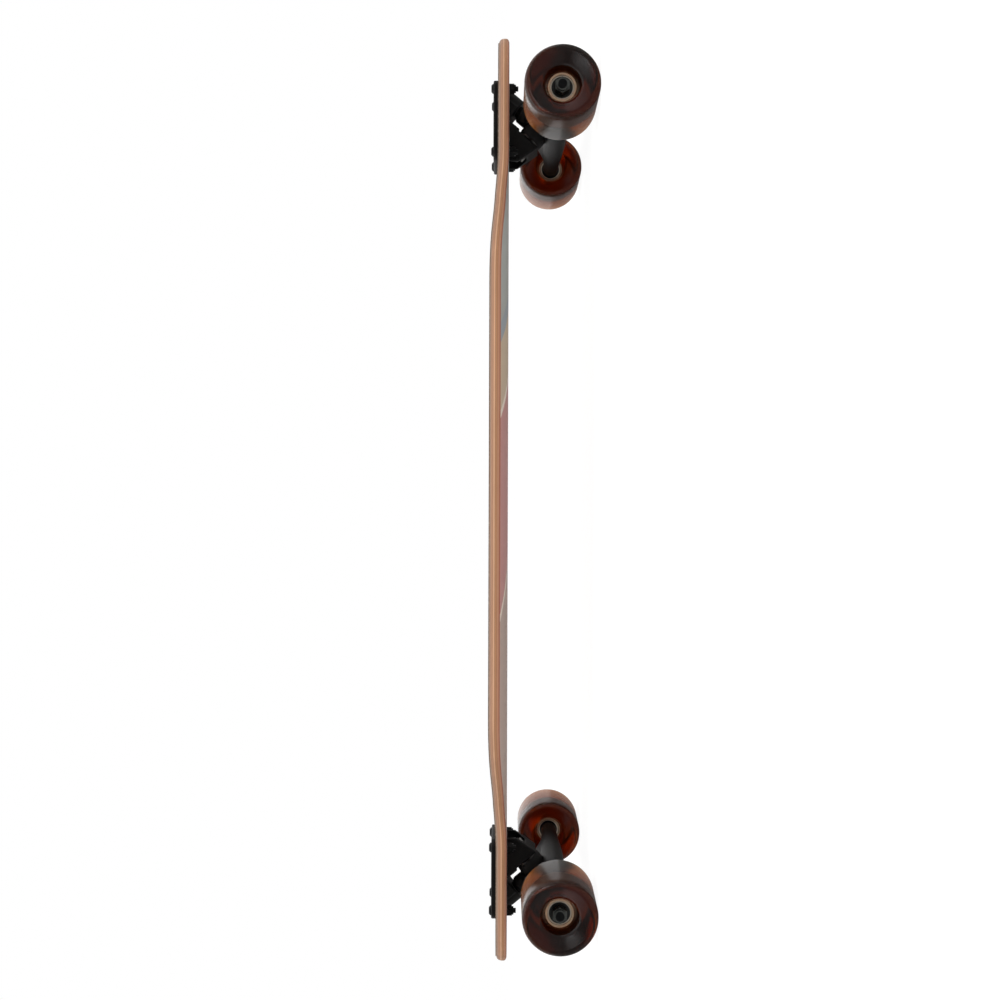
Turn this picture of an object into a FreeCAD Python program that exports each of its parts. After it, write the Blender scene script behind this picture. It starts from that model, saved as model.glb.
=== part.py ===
"""Longboard skateboard: a drop-through deck, two reverse-kingpin trucks and four wheels on ball bearings.

Frame: +X to the nose, +Y to the left side, +Z up. The origin is on the floor, below the middle of the deck.
Units are millimetres and degrees.
"""

import FreeCAD, Part
import os
import re

import Sketcher

# Driving dimensions. Each name is the alias of one cell of the sheet.
SIZES = {
    # Deck
    "deck_width": 213.0,
    "neck_width": 112.0,
    "tip_past_axle": 96.0,
    "end_roundness": 62.0,
    "neck_before_axle": 33.0,
    "flare_length": 140.0,
    "concave_height": 7.6,
    "flat_before_axle": 32.0,
    "concave_fade": 50.0,
    "veneer_thickness": 1.5,
    "core_thickness": 7.3,
    "grip_thickness": 0.8,
    "grip_window_gap": 1.0,
    "deck_above_axle": 47.5,
    "cutout_clearance": 1.0,
    "cutout_corner": 3.0,
    # Truck layout
    "wheelbase": 748.0,
    "steer_angle": 50.0,
    "steer_limit": 18.0,
    "steer_rake": 4.0,
    # Baseplate
    "flange_length": 80.0,
    "flange_width": 56.0,
    "flange_thickness": 5.5,
    "flange_corner": 9.0,
    "flange_edge_round": 1.2,
    "block_width": 25.0,
    "block_inboard": 28.5,
    "block_shoulder": 38.5,
    "block_foot": 14.0,
    "bushing_step": 2.0,
    "block_edge_round": 1.5,
    "housing_diameter": 22.0,
    "housing_floor": 0.4,
    "head_recess_diameter": 21.0,
    "head_recess_depth": 20.0,
    # Mounting bolts
    "bolt_spacing_long": 63.5,
    "bolt_spacing_wide": 41.3,
    "bolt_offset": 9.2,
    "bolt_diameter": 4.8,
    "bolt_hole_diameter": 5.4,
    "bolt_head_diameter": 9.4,
    "bolt_head_height": 2.2,
    "bolt_socket_flats": 3.2,
    "bolt_socket_depth": 1.4,
    "bolt_tail": 2.4,
    "mounting_nut_flats": 9.5,
    "mounting_nut_height": 6.8,
    # Hanger
    "hanger_width": 178.0,
    "hanger_end_diameter": 17.0,
    "hanger_shoulder": 14.0,
    "hanger_middle_diameter": 23.0,
    "hanger_middle_width": 36.0,
    "ring_diameter": 34.0,
    "ring_boardside": 8.5,
    "ring_roadside": 3.5,
    "seat_depth": 1.5,
    "seat_clearance": 0.4,
    "web_half_width": 55.0,
    "web_root": 10.0,
    "web_tip": 14.0,
    "web_thickness": 9.0,
    "arm_diameter": 18.0,
    "arm_past_ring": 7.0,
    "pivot_reach": 50.0,
    "pivot_diameter": 12.4,
    # Pivot cup
    "cup_lip": 4.0,
    "cup_wall": 2.4,
    "cup_floor": 2.0,
    # Kingpin and bushings
    "kingpin_offset": 18.0,
    "kingpin_diameter": 9.5,
    "kingpin_wall": 13.0,
    "kingpin_head_flats": 14.3,
    "kingpin_head_height": 6.0,
    "kingpin_tail": 2.0,
    "kingpin_nut_flats": 14.3,
    "kingpin_nut_height": 8.0,
    "kingpin_play": 0.6,
    "bushing_diameter": 25.6,
    "bushing_bevel": 1.2,
    "bushing_tip_diameter": 20.0,
    "boardside_bushing_height": 12.0,
    "roadside_bushing_height": 10.5,
    "bushing_washer_thickness": 1.6,
    # Axle and what is on it
    "axle_diameter": 8.0,
    "axle_stub": 1.0,
    "axle_nut_flats": 12.7,
    "axle_nut_height": 7.0,
    "nut_collar": 1.6,
    "speed_washer_diameter": 11.6,
    "speed_washer_thickness": 0.5,
    "spacer_diameter": 11.0,
    "spacer_length": 10.0,
    # Bearings
    "bearing_diameter": 22.0,
    "bearing_width": 7.0,
    "outer_land_diameter": 17.8,
    "inner_land_diameter": 12.0,
    "ball_diameter": 3.97,
    "ball_pitch": 15.0,
    "ball_count": 7,
    "cage_thickness": 1.2,
    "cage_width": 5.0,
    "cage_play": 0.1,
    "shield_diameter": 19.4,
    "shield_thickness": 0.35,
    "shield_recess": 0.55,
    "shield_gap": 0.35,
    # Wheels
    "wheel_diameter": 69.0,
    "wheel_width": 51.0,
    "tread_width": 40.0,
    "lip_diameter": 57.0,
    "lip_round": 1.5,
    "dish_diameter": 35.0,
    "dish_depth": 4.5,
    "core_rim_diameter": 26.4,
    "core_rib_diameter": 34.0,
    "core_width": 26.0,
    "core_rib_width": 17.0,
    "core_bore": 18.4,
    # Fits
    "running_clearance": 0.05,
    "slip_clearance": 0.02,
}

# Lengths that several pieces share, written with the names above.
DECK_HALF = "(wheelbase / 2 + tip_past_axle)"
NECK_START = "(wheelbase / 2 - neck_before_axle)"
FULL_WIDTH = f"({NECK_START} - flare_length)"
FLAT_START = "(wheelbase / 2 - flat_before_axle)"
FULL_CONCAVE = f"({FLAT_START} - concave_fade)"
DECK_TOP = "(deck_above_axle + 2 * veneer_thickness + core_thickness)"
FACE = "(ring_boardside + boardside_bushing_height + bushing_washer_thickness)"
STEP_START = "(kingpin_offset + bushing_diameter / 2 + seat_clearance)"
STEP_FACE = f"({FACE} - bushing_step)"
HEAD_SEAT = f"({FACE} + kingpin_wall)"
ROADSIDE_WASHER = "(ring_roadside + roadside_bushing_height)"
KINGPIN_NUT = f"({ROADSIDE_WASHER} + bushing_washer_thickness)"
KINGPIN_END = f"({KINGPIN_NUT} + kingpin_nut_height + kingpin_tail)"
CUP_MOUTH = "(pivot_reach - cup_lip)"
CUP_INSIDE = "(pivot_reach + pivot_diameter / 2 + running_clearance)"
CUP_END = f"({CUP_INSIDE} + cup_floor)"
CUP_RADIUS = "(pivot_diameter / 2 + running_clearance + cup_wall)"
HOUSING_END = f"({CUP_END} + housing_floor)"
RING_EDGE = "(kingpin_offset + ring_diameter / 2)"
BEARING_MIDDLE = "(spacer_length / 2 + bearing_width / 2)"
STACK_END = "(spacer_length / 2 + bearing_width)"
WHEEL_MIDDLE = f"(hanger_width / 2 + speed_washer_thickness + {STACK_END})"
AXLE_HALF = f"({WHEEL_MIDDLE} + {STACK_END} + speed_washer_thickness + axle_nut_height + axle_stub)"
BOLT_REACH = f"({DECK_TOP} - deck_above_axle + flange_thickness + mounting_nut_height + bolt_tail)"
HEX_CORNER = "/ (2 * cos(30deg))"
SLOT_RADIUS = "(kingpin_diameter / 2 / cos(steer_limit * 1deg) + kingpin_play)"
SLOT_SHIFT = "((ring_roadside + steer_rake) * tan(steer_limit * 1deg))"
FAR = "(2 * hanger_width)"

doc = FreeCAD.newDocument("Longboard")


def make_sheet():
    """The spreadsheet that holds the driving dimensions."""
    sheet = doc.addObject("Spreadsheet::Sheet", "Sizes")
    for row, (alias, value) in enumerate(SIZES.items(), 1):
        sheet.set(f"A{row}", alias)
        sheet.set(f"B{row}", str(value))
        sheet.setAlias(f"B{row}", alias)
    doc.recompute()
    return sheet


def bound(text):
    """An expression with each size's name pointed at its cell."""
    return re.sub(r"[a-z_]{3,}", lambda word: f"Sizes.{word[0]}" if word[0] in SIZES else word[0], text)


def value_of(text):
    """The number that an expression has now."""
    return float(sheet.evalExpression(bound(text)))


def place(x="0", y="0", z="0", about="0; 0; 1", angle="0"):
    """The text of a placement: a move after a turn about an axis."""
    return f"placement(vector({x}; {y}; {z}); rotation(vector({about}); {angle}))"


def put(feature, placement):
    """Binds a feature's placement to an expression."""
    feature.setExpression("Placement", bound(placement))
    return feature


def primitive(kind, name, placement=None, **sizes):
    """A Part primitive with its sizes, and its placement, bound to the sheet."""
    feature = doc.addObject(f"Part::{kind}", name)
    for prop, text in sizes.items():
        feature.setExpression(prop, bound(text))
    return put(feature, placement or place())


def cylinder(name, diameter, height, placement=None):
    """A round bar that stands on its placement's origin, along its own Z axis."""
    return primitive("Cylinder", name, placement, Radius=f"({diameter}) / 2", Height=height)


def hexagon(name, flats, height, placement=None):
    """A six-sided bar, measured across its flats."""
    bar = primitive("Prism", name, placement, Circumradius=f"{flats} {HEX_CORNER}", Height=height)
    bar.Polygon = 6
    return bar


def fuse(name, pieces):
    """One solid from several that overlap or share faces."""
    feature = doc.addObject("Part::MultiFuse", name)
    feature.Shapes = pieces
    feature.Refine = True
    return feature


def cut(name, base, tools):
    """A base with its tools taken away."""
    feature = doc.addObject("Part::Cut", name)
    feature.Base = base
    feature.Tool = tools[0] if len(tools) == 1 else fuse(f"{name}_tools", tools)
    return feature


def profile(body, role, points):
    """A closed outline of straight lines on an origin plane, each corner bound to the sheet."""
    sketch = body.newObject("Sketcher::SketchObject", f"{body.Name}_profile")
    plane = next(feature for feature in body.Origin.OriginFeatures if feature.Role == role)
    sketch.AttachmentSupport = [(plane, "")]
    sketch.MapMode = "FlatFace"
    corners = [FreeCAD.Vector(value_of(across), value_of(up), 0) for across, up in points]
    count = len(corners)
    for index, corner in enumerate(corners):
        sketch.addGeometry(Part.LineSegment(corner, corners[(index + 1) % count]), False)
    for index in range(count):
        sketch.addConstraint(Sketcher.Constraint("Coincident", index, 2, (index + 1) % count, 1))
    for index, (corner, texts) in enumerate(zip(corners, points)):
        for kind, value, text in zip(("DistanceX", "DistanceY"), corner, texts):
            number = sketch.addConstraint(Sketcher.Constraint(kind, -1, 1, index, 1, value))
            sketch.setExpression(f"Constraints[{number}]", bound(text))
    return sketch


def turned(name, points):
    """A piece turned about its own Z axis, from corners given as radius and height."""
    body = doc.addObject("PartDesign::Body", name)
    feature = body.newObject("PartDesign::Revolution", f"{name}_turn")
    feature.Profile = profile(body, "XZ_Plane", points)
    feature.ReferenceAxis = (feature.Profile[0], ["V_Axis"])
    feature.Angle = 360
    return body


def padded(name, role, points, length, midplane=False):
    """A plate of an outline's shape, along the normal of its plane."""
    body = doc.addObject("PartDesign::Body", name)
    feature = body.newObject("PartDesign::Pad", f"{name}_pad")
    feature.Profile = profile(body, role, points)
    feature.setExpression("Length", bound(length))
    feature.SideType = "Symmetric" if midplane else "One side"
    return body


def rounded(body, radius, wanted):
    """Rounds the edges of a body that a test picks."""
    doc.recompute()
    base = body.Tip
    names = [f"Edge{number}" for number, edge in enumerate(base.Shape.Edges, 1) if wanted(edge)]
    feature = body.newObject("PartDesign::Fillet", f"{base.Name}_round")
    feature.Base = (base, names)
    feature.setExpression("Radius", bound(radius))
    return body


def ring(name, bore, diameter, low, high):
    """A plain turned ring between two heights."""
    inner, outer = f"({bore}) / 2", f"({diameter}) / 2"
    return turned(name, [(inner, low), (outer, low), (outer, high), (inner, high)])


def rectangle(long_low, long_high, wide):
    """The corners of a rectangle that is centred across."""
    half = f"({wide}) / 2"
    return [(long_low, f"-{half}"), (long_high, f"-{half}"), (long_high, half), (long_low, half)]


def along(reach, away):
    """The place, out from the axle and up, of a point given along and square to the steering axis."""
    angle = "steer_angle * 1deg"
    return (
        f"(({reach}) * cos({angle}) + ({away}) * sin({angle}))",
        f"(({reach}) * sin({angle}) - ({away}) * cos({angle}))",
    )


def is_upright(edge):
    """Whether an edge runs along Z."""
    return edge.Curve.TypeId == "Part::GeomLine" and abs(edge.tangentAt(edge.FirstParameter).z) > 0.99


def is_circle_at(edge, radius, height):
    """Whether an edge is a circle of this radius, this far from the middle plane."""
    if edge.Curve.TypeId != "Part::GeomCircle":
        return False
    return abs(edge.Curve.Radius - radius) < 0.01 and abs(abs(edge.Curve.Center.z) - height) < 0.01


class Wheel:
    """One wheel's pieces. Local frame: spin axis along Z, outboard up, origin in the wheel's middle."""

    def __init__(self):
        self.tyre = self.make_tyre()
        self.core = self.make_core()
        self.outer_race = self.make_outer_race()
        self.inner_race = self.make_inner_race()
        self.balls = self.make_balls()
        self.cage = self.make_cage()
        self.shield = ring(
            "shield", "inner_land_diameter + 2 * shield_gap", "shield_diameter",
            "bearing_width / 2 - shield_recess", "bearing_width / 2 - shield_recess + shield_thickness")
        self.spacer = ring("spacer", "axle_diameter + 2 * slip_clearance", "spacer_diameter",
                           "-spacer_length / 2", "spacer_length / 2")
        self.speed_washer = ring("speed_washer", "axle_diameter + 2 * slip_clearance",
                                 "speed_washer_diameter", "0", "speed_washer_thickness")
        self.axle_nut = self.make_axle_nut()

    def make_tyre(self):
        """The urethane tyre: flat tread, round lips and faces that dish in two slopes to the core's rim."""
        tread, lip, rim = "wheel_diameter / 2", "lip_diameter / 2", "core_rim_diameter / 2"
        dish, floor = "dish_diameter / 2", "(wheel_width / 2 - dish_depth)"
        rib, half = "core_rib_diameter / 2", "wheel_width / 2"
        tyre = turned("tyre", [
            (rim, "-core_width / 2"), (dish, f"-{floor}"), (lip, f"-{half}"), (tread, f"-{half}"),
            (tread, half), (lip, half), (dish, floor), (rim, "core_width / 2"),
            (rim, "core_rib_width / 2"), (rib, "core_rib_width / 2"),
            (rib, "-core_rib_width / 2"), (rim, "-core_rib_width / 2"),
        ])
        edge_height = value_of(half)
        rounded(tyre, "(wheel_width - tread_width) / 2",
                lambda edge: is_circle_at(edge, value_of(tread), edge_height))
        return rounded(tyre, "lip_round", lambda edge: is_circle_at(edge, value_of(lip), edge_height))

    def make_core(self):
        """The hub core: two bearing seats, a shoulder between them and a rib that keys the tyre."""
        seat, rim, rib = "bearing_diameter / 2", "core_rim_diameter / 2", "core_rib_diameter / 2"
        return turned("core", [
            (seat, "-core_width / 2"), (rim, "-core_width / 2"), (rim, "-core_rib_width / 2"),
            (rib, "-core_rib_width / 2"), (rib, "core_rib_width / 2"), (rim, "core_rib_width / 2"),
            (rim, "core_width / 2"), (seat, "core_width / 2"), (seat, "spacer_length / 2"),
            ("core_bore / 2", "spacer_length / 2"), ("core_bore / 2", "-spacer_length / 2"),
            (seat, "-spacer_length / 2"),
        ])

    def make_groove(self, name):
        """The ring that the balls' track takes out of a race."""
        return primitive("Torus", name, Radius1="ball_pitch / 2",
                         Radius2="ball_diameter / 2 + running_clearance")

    def make_outer_race(self):
        """The outer race, with a step at each face that seats a shield."""
        outside, step, land = "bearing_diameter / 2", "shield_diameter / 2", "outer_land_diameter / 2"
        face, ledge = "bearing_width / 2", "(bearing_width / 2 - shield_recess)"
        blank = turned("outer_race_blank", [
            (step, f"-{face}"), (outside, f"-{face}"), (outside, face), (step, face),
            (step, ledge), (land, ledge), (land, f"-{ledge}"), (step, f"-{ledge}"),
        ])
        return cut("outer_race", blank, [self.make_groove("outer_groove")])

    def make_inner_race(self):
        """The inner race, which sits still on the axle."""
        blank = ring("inner_race_blank", "axle_diameter + 2 * slip_clearance", "inner_land_diameter",
                     "-bearing_width / 2", "bearing_width / 2")
        return cut("inner_race", blank, [self.make_groove("inner_groove")])

    @staticmethod
    def ball_turns():
        """The turn to each ball about the spin axis, with its number."""
        return [(number, place(angle=f"{number} * 360 / ball_count"))
                for number in range(int(value_of("ball_count")))]

    def make_balls(self):
        """A ring of balls on the pitch circle."""
        group = doc.addObject("Part::Compound", "balls")
        group.Links = [
            primitive("Sphere", f"ball_{number}", f"{turn} * {place(x='ball_pitch / 2')}",
                      Radius="ball_diameter / 2")
            for number, turn in self.ball_turns()
        ]
        return group

    def make_cage(self):
        """The ball cage: a thin ring with a round pocket for each ball."""
        blank = ring("cage_blank", "ball_pitch - cage_thickness", "ball_pitch + cage_thickness",
                     "-cage_width / 2", "cage_width / 2")
        pockets = [
            cylinder(f"pocket_{number}", "ball_diameter + 2 * cage_play", "ball_pitch",
                     f"{turn} * {place(about='0; 1; 0', angle='90')}")
            for number, turn in self.ball_turns()
        ]
        return cut("cage", blank, pockets)

    def make_axle_nut(self):
        """A hexagon lock nut with a round collar at its outer end."""
        flats = hexagon("axle_nut_flats_bar", "axle_nut_flats", "axle_nut_height - nut_collar")
        collar = cylinder("axle_nut_collar", "axle_nut_flats - nut_collar", "axle_nut_height")
        bore = cylinder("axle_nut_bore", "axle_diameter", "axle_nut_height")
        return cut("axle_nut", fuse("axle_nut_blank", [flats, collar]), [bore])


class Hanger:
    """The hanger and its axle. Local frame: Z along the steering axis, X square to it, origin on the axle."""

    TO_AXLE = place(about="1; 0; 0", angle="-90")
    TO_KINGPIN = place(about="0; 1; 0", angle="90")

    def __init__(self):
        self.hanger = self.make_hanger()
        self.axle = cylinder("axle", "axle_diameter", f"2 * {AXLE_HALF}",
                             place(y=f"-{AXLE_HALF}", about="1; 0; 0", angle="-90"))

    def make_tube(self):
        """The axle housing: straight shoulders at the ends and a taper to a thicker middle."""
        end, middle = "hanger_end_diameter / 2", "hanger_middle_diameter / 2"
        half, inner = "hanger_width / 2", "(hanger_width / 2 - hanger_shoulder)"
        tube = turned("hanger_tube", [
            ("0", f"-{half}"), (end, f"-{half}"), (end, f"-{inner}"), (middle, "-hanger_middle_width / 2"),
            (middle, "hanger_middle_width / 2"), (end, inner), (end, half), ("0", half),
        ])
        return put(tube, self.TO_AXLE)

    def make_arm(self):
        """The arm from the kingpin ring to the round pivot nose."""
        arm, nose = "arm_diameter / 2", "pivot_diameter / 2"
        root = f"({RING_EDGE} + arm_past_ring)"
        bar = turned("hanger_arm", [
            ("0", "kingpin_offset"), (arm, "kingpin_offset"), (arm, root),
            (nose, f"({root} + arm_diameter / 2 - pivot_diameter / 2)"), (nose, "pivot_reach"),
            ("0", "pivot_reach"),
        ])
        tip = primitive("Sphere", "pivot_tip", place(x="-steer_rake", z="pivot_reach"), Radius=nose)
        return [put(bar, place(x="-steer_rake")), tip]

    def make_web(self):
        """The flat web that spreads from the arm to the axle housing."""
        wide, root, tip = "web_half_width", "web_root / 2", "web_tip / 2"
        web = padded("hanger_web", "YZ_Plane", [
            (f"-{wide}", f"-{root}"), (wide, f"-{root}"), (wide, root), (tip, RING_EDGE),
            (f"-{tip}", RING_EDGE), (f"-{wide}", root),
        ], "web_thickness", midplane=True)
        return put(web, place(x="-steer_rake"))

    def make_hanger(self):
        """The hanger casting, with bushing seats, a slot for the kingpin to lean in and the axle's bore."""
        thick = "ring_boardside + ring_roadside + 2 * seat_depth"
        eye = cylinder("hanger_ring", "ring_diameter", thick,
                       place(x="-(ring_boardside + seat_depth)", z="kingpin_offset",
                             about="0; 1; 0", angle="90"))
        blank = fuse("hanger_blank", [self.make_tube(), eye, *self.make_arm(), self.make_web()])
        seat = "bushing_diameter + 2 * seat_clearance"
        boardside = cylinder("boardside_seat", seat, FAR, place(
            x="-ring_boardside", z="kingpin_offset", about="0; 1; 0", angle="-90"))
        roadside = cylinder("roadside_seat", seat, FAR, place(
            x="ring_roadside", z="kingpin_offset", about="0; 1; 0", angle="90"))
        bore = cylinder("hanger_bore", "axle_diameter", FAR, place(
            y=f"-{FAR} / 2", about="1; 0; 0", angle="-90"))
        return cut("hanger", blank, [boardside, roadside, bore, *self.make_slot()])

    def make_slot(self):
        """The kingpin's slot, long enough across for the hanger to lean to its limit."""
        ends = [
            cylinder(f"slot_end_{number}", f"2 * {SLOT_RADIUS}", FAR, place(
                x=f"-{FAR} / 2", y=f"{side} * {SLOT_SHIFT}", z="kingpin_offset", about="0; 1; 0", angle="90"))
            for number, side in enumerate(("-1", "1"), 1)
        ]
        middle = primitive("Box", "slot_middle", place(
            x=f"-{FAR} / 2", y=f"-{SLOT_SHIFT}", z=f"kingpin_offset - {SLOT_RADIUS}"),
            Length=FAR, Width=f"2 * {SLOT_SHIFT}", Height=f"2 * {SLOT_RADIUS}")
        return [*ends, middle]


class Kingpin:
    """The kingpin's stack. Local frame: Z along the kingpin, towards the road, level with the axle at 0."""

    def __init__(self):
        self.kingpin = self.make_kingpin()
        self.nut = self.make_nut()
        bore = "kingpin_diameter + 2 * slip_clearance"
        self.boardside_washer = ring("boardside_washer", bore, "bushing_diameter",
                                     f"-{FACE}", f"-{FACE} + bushing_washer_thickness")
        self.roadside_washer = ring("roadside_washer", bore, "bushing_tip_diameter",
                                    ROADSIDE_WASHER, KINGPIN_NUT)
        self.boardside_bushing = self.make_boardside_bushing()
        self.roadside_bushing = self.make_roadside_bushing()

    def make_kingpin(self):
        """The bolt, its hexagon head in the baseplate's recess."""
        head = hexagon("kingpin_head", "kingpin_head_flats", "kingpin_head_height",
                       place(z=f"-({HEAD_SEAT} + kingpin_head_height)"))
        shank = cylinder("kingpin_shank", "kingpin_diameter", f"{HEAD_SEAT} + {KINGPIN_END}",
                         place(z=f"-{HEAD_SEAT}"))
        return fuse("kingpin", [head, shank])

    def make_nut(self):
        """A hexagon lock nut with a round collar at its road end."""
        spot = place(z=KINGPIN_NUT)
        flats = hexagon("kingpin_nut_bar", "kingpin_nut_flats", "kingpin_nut_height - nut_collar", spot)
        collar = cylinder("kingpin_nut_collar", "kingpin_nut_flats - nut_collar", "kingpin_nut_height", spot)
        bore = cylinder("kingpin_nut_bore", "kingpin_diameter", "kingpin_nut_height", spot)
        return cut("kingpin_nut", fuse("kingpin_nut_blank", [flats, collar]), [bore])

    def make_boardside_bushing(self):
        """A barrel of urethane between the baseplate's washer and the hanger."""
        bore, side = "(kingpin_diameter / 2 + slip_clearance)", "bushing_diameter / 2"
        low, high = "-(ring_boardside + boardside_bushing_height)", "-ring_boardside"
        return turned("boardside_bushing", [
            (bore, low), (f"{side} - bushing_bevel", low), (side, f"{low} + bushing_bevel"),
            (side, f"{high} - bushing_bevel"), (f"{side} - bushing_bevel", high), (bore, high),
        ])

    def make_roadside_bushing(self):
        """A cone of urethane between the hanger and the kingpin nut's washer."""
        bore, side = "(kingpin_diameter / 2 + slip_clearance)", "bushing_diameter / 2"
        return turned("roadside_bushing", [
            (bore, "ring_roadside"), (f"{side} - bushing_bevel", "ring_roadside"),
            (side, "ring_roadside + bushing_bevel"), (side, "ring_roadside + seat_depth + bushing_bevel"),
            ("bushing_tip_diameter / 2", ROADSIDE_WASHER), (bore, ROADSIDE_WASHER),
        ])


class Baseplate:
    """The baseplate, its pivot cup and its bolts. Local frame: X outboard, Z up, origin on the axle."""

    TO_STEER = place(about="0; 1; 0", angle="90 - steer_angle")

    def __init__(self):
        self.outboard = along(HOUSING_END, "housing_diameter / 2 - steer_rake")[0]
        self.baseplate = self.make_baseplate()
        self.pivot_cup = self.make_pivot_cup()
        self.bolt = self.make_bolt()
        self.nut = self.make_nut()
        self.cutout = self.make_cutout()

    @staticmethod
    def bolt_places(height):
        """The placements of the four bolts, at one height above the axle."""
        return [
            place(x=f"bolt_offset + {out} * bolt_spacing_long / 2",
                  y=f"{side} * bolt_spacing_wide / 2", z=height)
            for out in ("-1", "1") for side in ("-1", "1")
        ]

    def make_flange(self):
        """The plate that rests on the deck's top, rounded at its corners and round its top edge."""
        ends = [f"bolt_offset {sign} flange_length / 2" for sign in "-+"]
        flange = padded("flange", "XY_Plane", rectangle(*ends, "flange_width"), "flange_thickness")
        rounded(flange, "flange_corner", is_upright)
        top = value_of("flange_thickness")
        rounded(flange, "flange_edge_round", lambda edge: edge.BoundBox.ZMin > top - 0.01)
        return put(flange, place(z=DECK_TOP))

    def make_block(self):
        """The block below the deck: its slanted face seats the bushing below a step, its end the pivot."""
        corner_x, corner_z = along(HOUSING_END, "-steer_rake")
        block = padded("block", "XZ_Plane", [
            ("-block_inboard", DECK_TOP), ("-block_inboard", "block_shoulder"),
            along("kingpin_offset - block_foot", f"-{FACE}"), along(STEP_START, f"-{FACE}"),
            along(STEP_START, f"-{STEP_FACE}"), along(CUP_MOUTH, f"-{STEP_FACE}"),
            along(CUP_MOUTH, "-steer_rake"), (corner_x, corner_z), (corner_x, DECK_TOP),
        ], "block_width", midplane=True)
        side, top = value_of("block_width") / 2, value_of(DECK_TOP)

        def on_a_side(edge):
            """Whether an edge lies in a side face of the block, below the deck's top."""
            box = edge.BoundBox
            return box.YLength < 0.01 and abs(abs(box.YMin) - side) < 0.01 and box.ZMin < top - 0.01

        return rounded(block, "block_edge_round", on_a_side)

    def make_housing(self):
        """The round housing of the pivot cup, cut level with the deck's top and square at its end."""
        barrel = cylinder("housing_barrel", "housing_diameter", FAR,
                          f"{self.TO_STEER} * {place(x='-steer_rake', z=CUP_MOUTH)}")
        room = primitive("Box", "housing_room", place(y=f"-{FAR} / 2"),
                         Length=self.outboard, Width=FAR, Height=DECK_TOP)
        housing = doc.addObject("Part::MultiCommon", "housing")
        housing.Shapes = [barrel, room]
        return housing

    def make_baseplate(self):
        """The casting with its pivot socket, kingpin hole, head recess and bolt holes."""
        blank = fuse("baseplate_blank", [self.make_flange(), self.make_block(), self.make_housing()])
        socket = cylinder("pivot_socket", f"2 * {CUP_RADIUS}", f"{CUP_END} - {CUP_MOUTH} + cup_lip",
                          f"{self.TO_STEER} * {place(x='-steer_rake', z=f'{CUP_MOUTH} - cup_lip')}")
        pin_axis = f"{self.TO_STEER} * {place(z='kingpin_offset')} * {Hanger.TO_KINGPIN}"
        pin_hole = cylinder("kingpin_hole", "kingpin_diameter", FAR, f"{pin_axis} * {place(z=f'-{FAR}')}")
        recess = cylinder("head_recess", "head_recess_diameter", "head_recess_depth",
                          f"{pin_axis} * {place(z=f'-({HEAD_SEAT} + head_recess_depth)')}")
        pin_stop = primitive("Box", "pin_hole_room", place(x=f"-{FAR}", y=f"-{FAR} / 2"),
                             Length=f"2 * {FAR}", Width=FAR, Height=DECK_TOP)
        short_hole = doc.addObject("Part::MultiCommon", "kingpin_hole_in_block")
        short_hole.Shapes = [pin_hole, pin_stop]
        bolt_holes = [
            cylinder(f"flange_hole_{number}", "bolt_hole_diameter", FAR, f"{spot} * {place(z=f'-{FAR} / 2')}")
            for number, spot in enumerate(self.bolt_places(DECK_TOP), 1)
        ]
        return cut("baseplate", blank, [socket, short_hole, recess, *bolt_holes])

    def make_pivot_cup(self):
        """The urethane cup that the hanger's nose turns in."""
        inside = "(pivot_diameter / 2 + running_clearance)"
        return turned("pivot_cup", [
            (inside, CUP_MOUTH), (CUP_RADIUS, CUP_MOUTH), (CUP_RADIUS, CUP_END),
            ("0", CUP_END), ("0", CUP_INSIDE), (inside, CUP_INSIDE),
        ])

    def make_bolt(self):
        """A button-head bolt with a hexagon socket, its head standing on Z = 0."""
        head, shank = "bolt_head_diameter / 2", "bolt_diameter / 2"
        blank = turned("bolt_blank", [
            ("0", f"-{BOLT_REACH}"), (shank, f"-{BOLT_REACH}"), (shank, "0"), (head, "0"),
            (head, "bolt_head_height / 3"), ("bolt_head_diameter / 3", "bolt_head_height"),
            ("0", "bolt_head_height"),
        ])
        socket = hexagon("bolt_socket", "bolt_socket_flats", "bolt_socket_depth",
                         place(z="bolt_head_height - bolt_socket_depth"))
        return cut("bolt", blank, [socket])

    def make_nut(self):
        """A hexagon lock nut with a round collar at its lower end, its top on Z = 0."""
        flats = hexagon("mounting_nut_bar", "mounting_nut_flats", "mounting_nut_height - nut_collar",
                        place(z="nut_collar - mounting_nut_height"))
        collar = cylinder("mounting_nut_collar", "mounting_nut_flats - nut_collar", "mounting_nut_height",
                          place(z="-mounting_nut_height"))
        bore = cylinder("mounting_nut_bore", "bolt_diameter", "mounting_nut_height",
                        place(z="-mounting_nut_height"))
        return cut("mounting_nut", fuse("mounting_nut_blank", [flats, collar]), [bore])

    def make_cutout(self):
        """What the truck takes out of the deck: the block's opening and the bolts' holes."""
        opening = padded("deck_opening", "XY_Plane", rectangle(
            "-(block_inboard + cutout_clearance)", f"{self.outboard} + cutout_clearance",
            "block_width + 2 * cutout_clearance"), FAR)
        rounded(opening, "cutout_corner", is_upright)
        holes = [
            cylinder(f"deck_hole_{number}", "bolt_hole_diameter", FAR, spot)
            for number, spot in enumerate(self.bolt_places("0"), 1)
        ]
        return fuse("deck_cutout", [opening, *holes])


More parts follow.
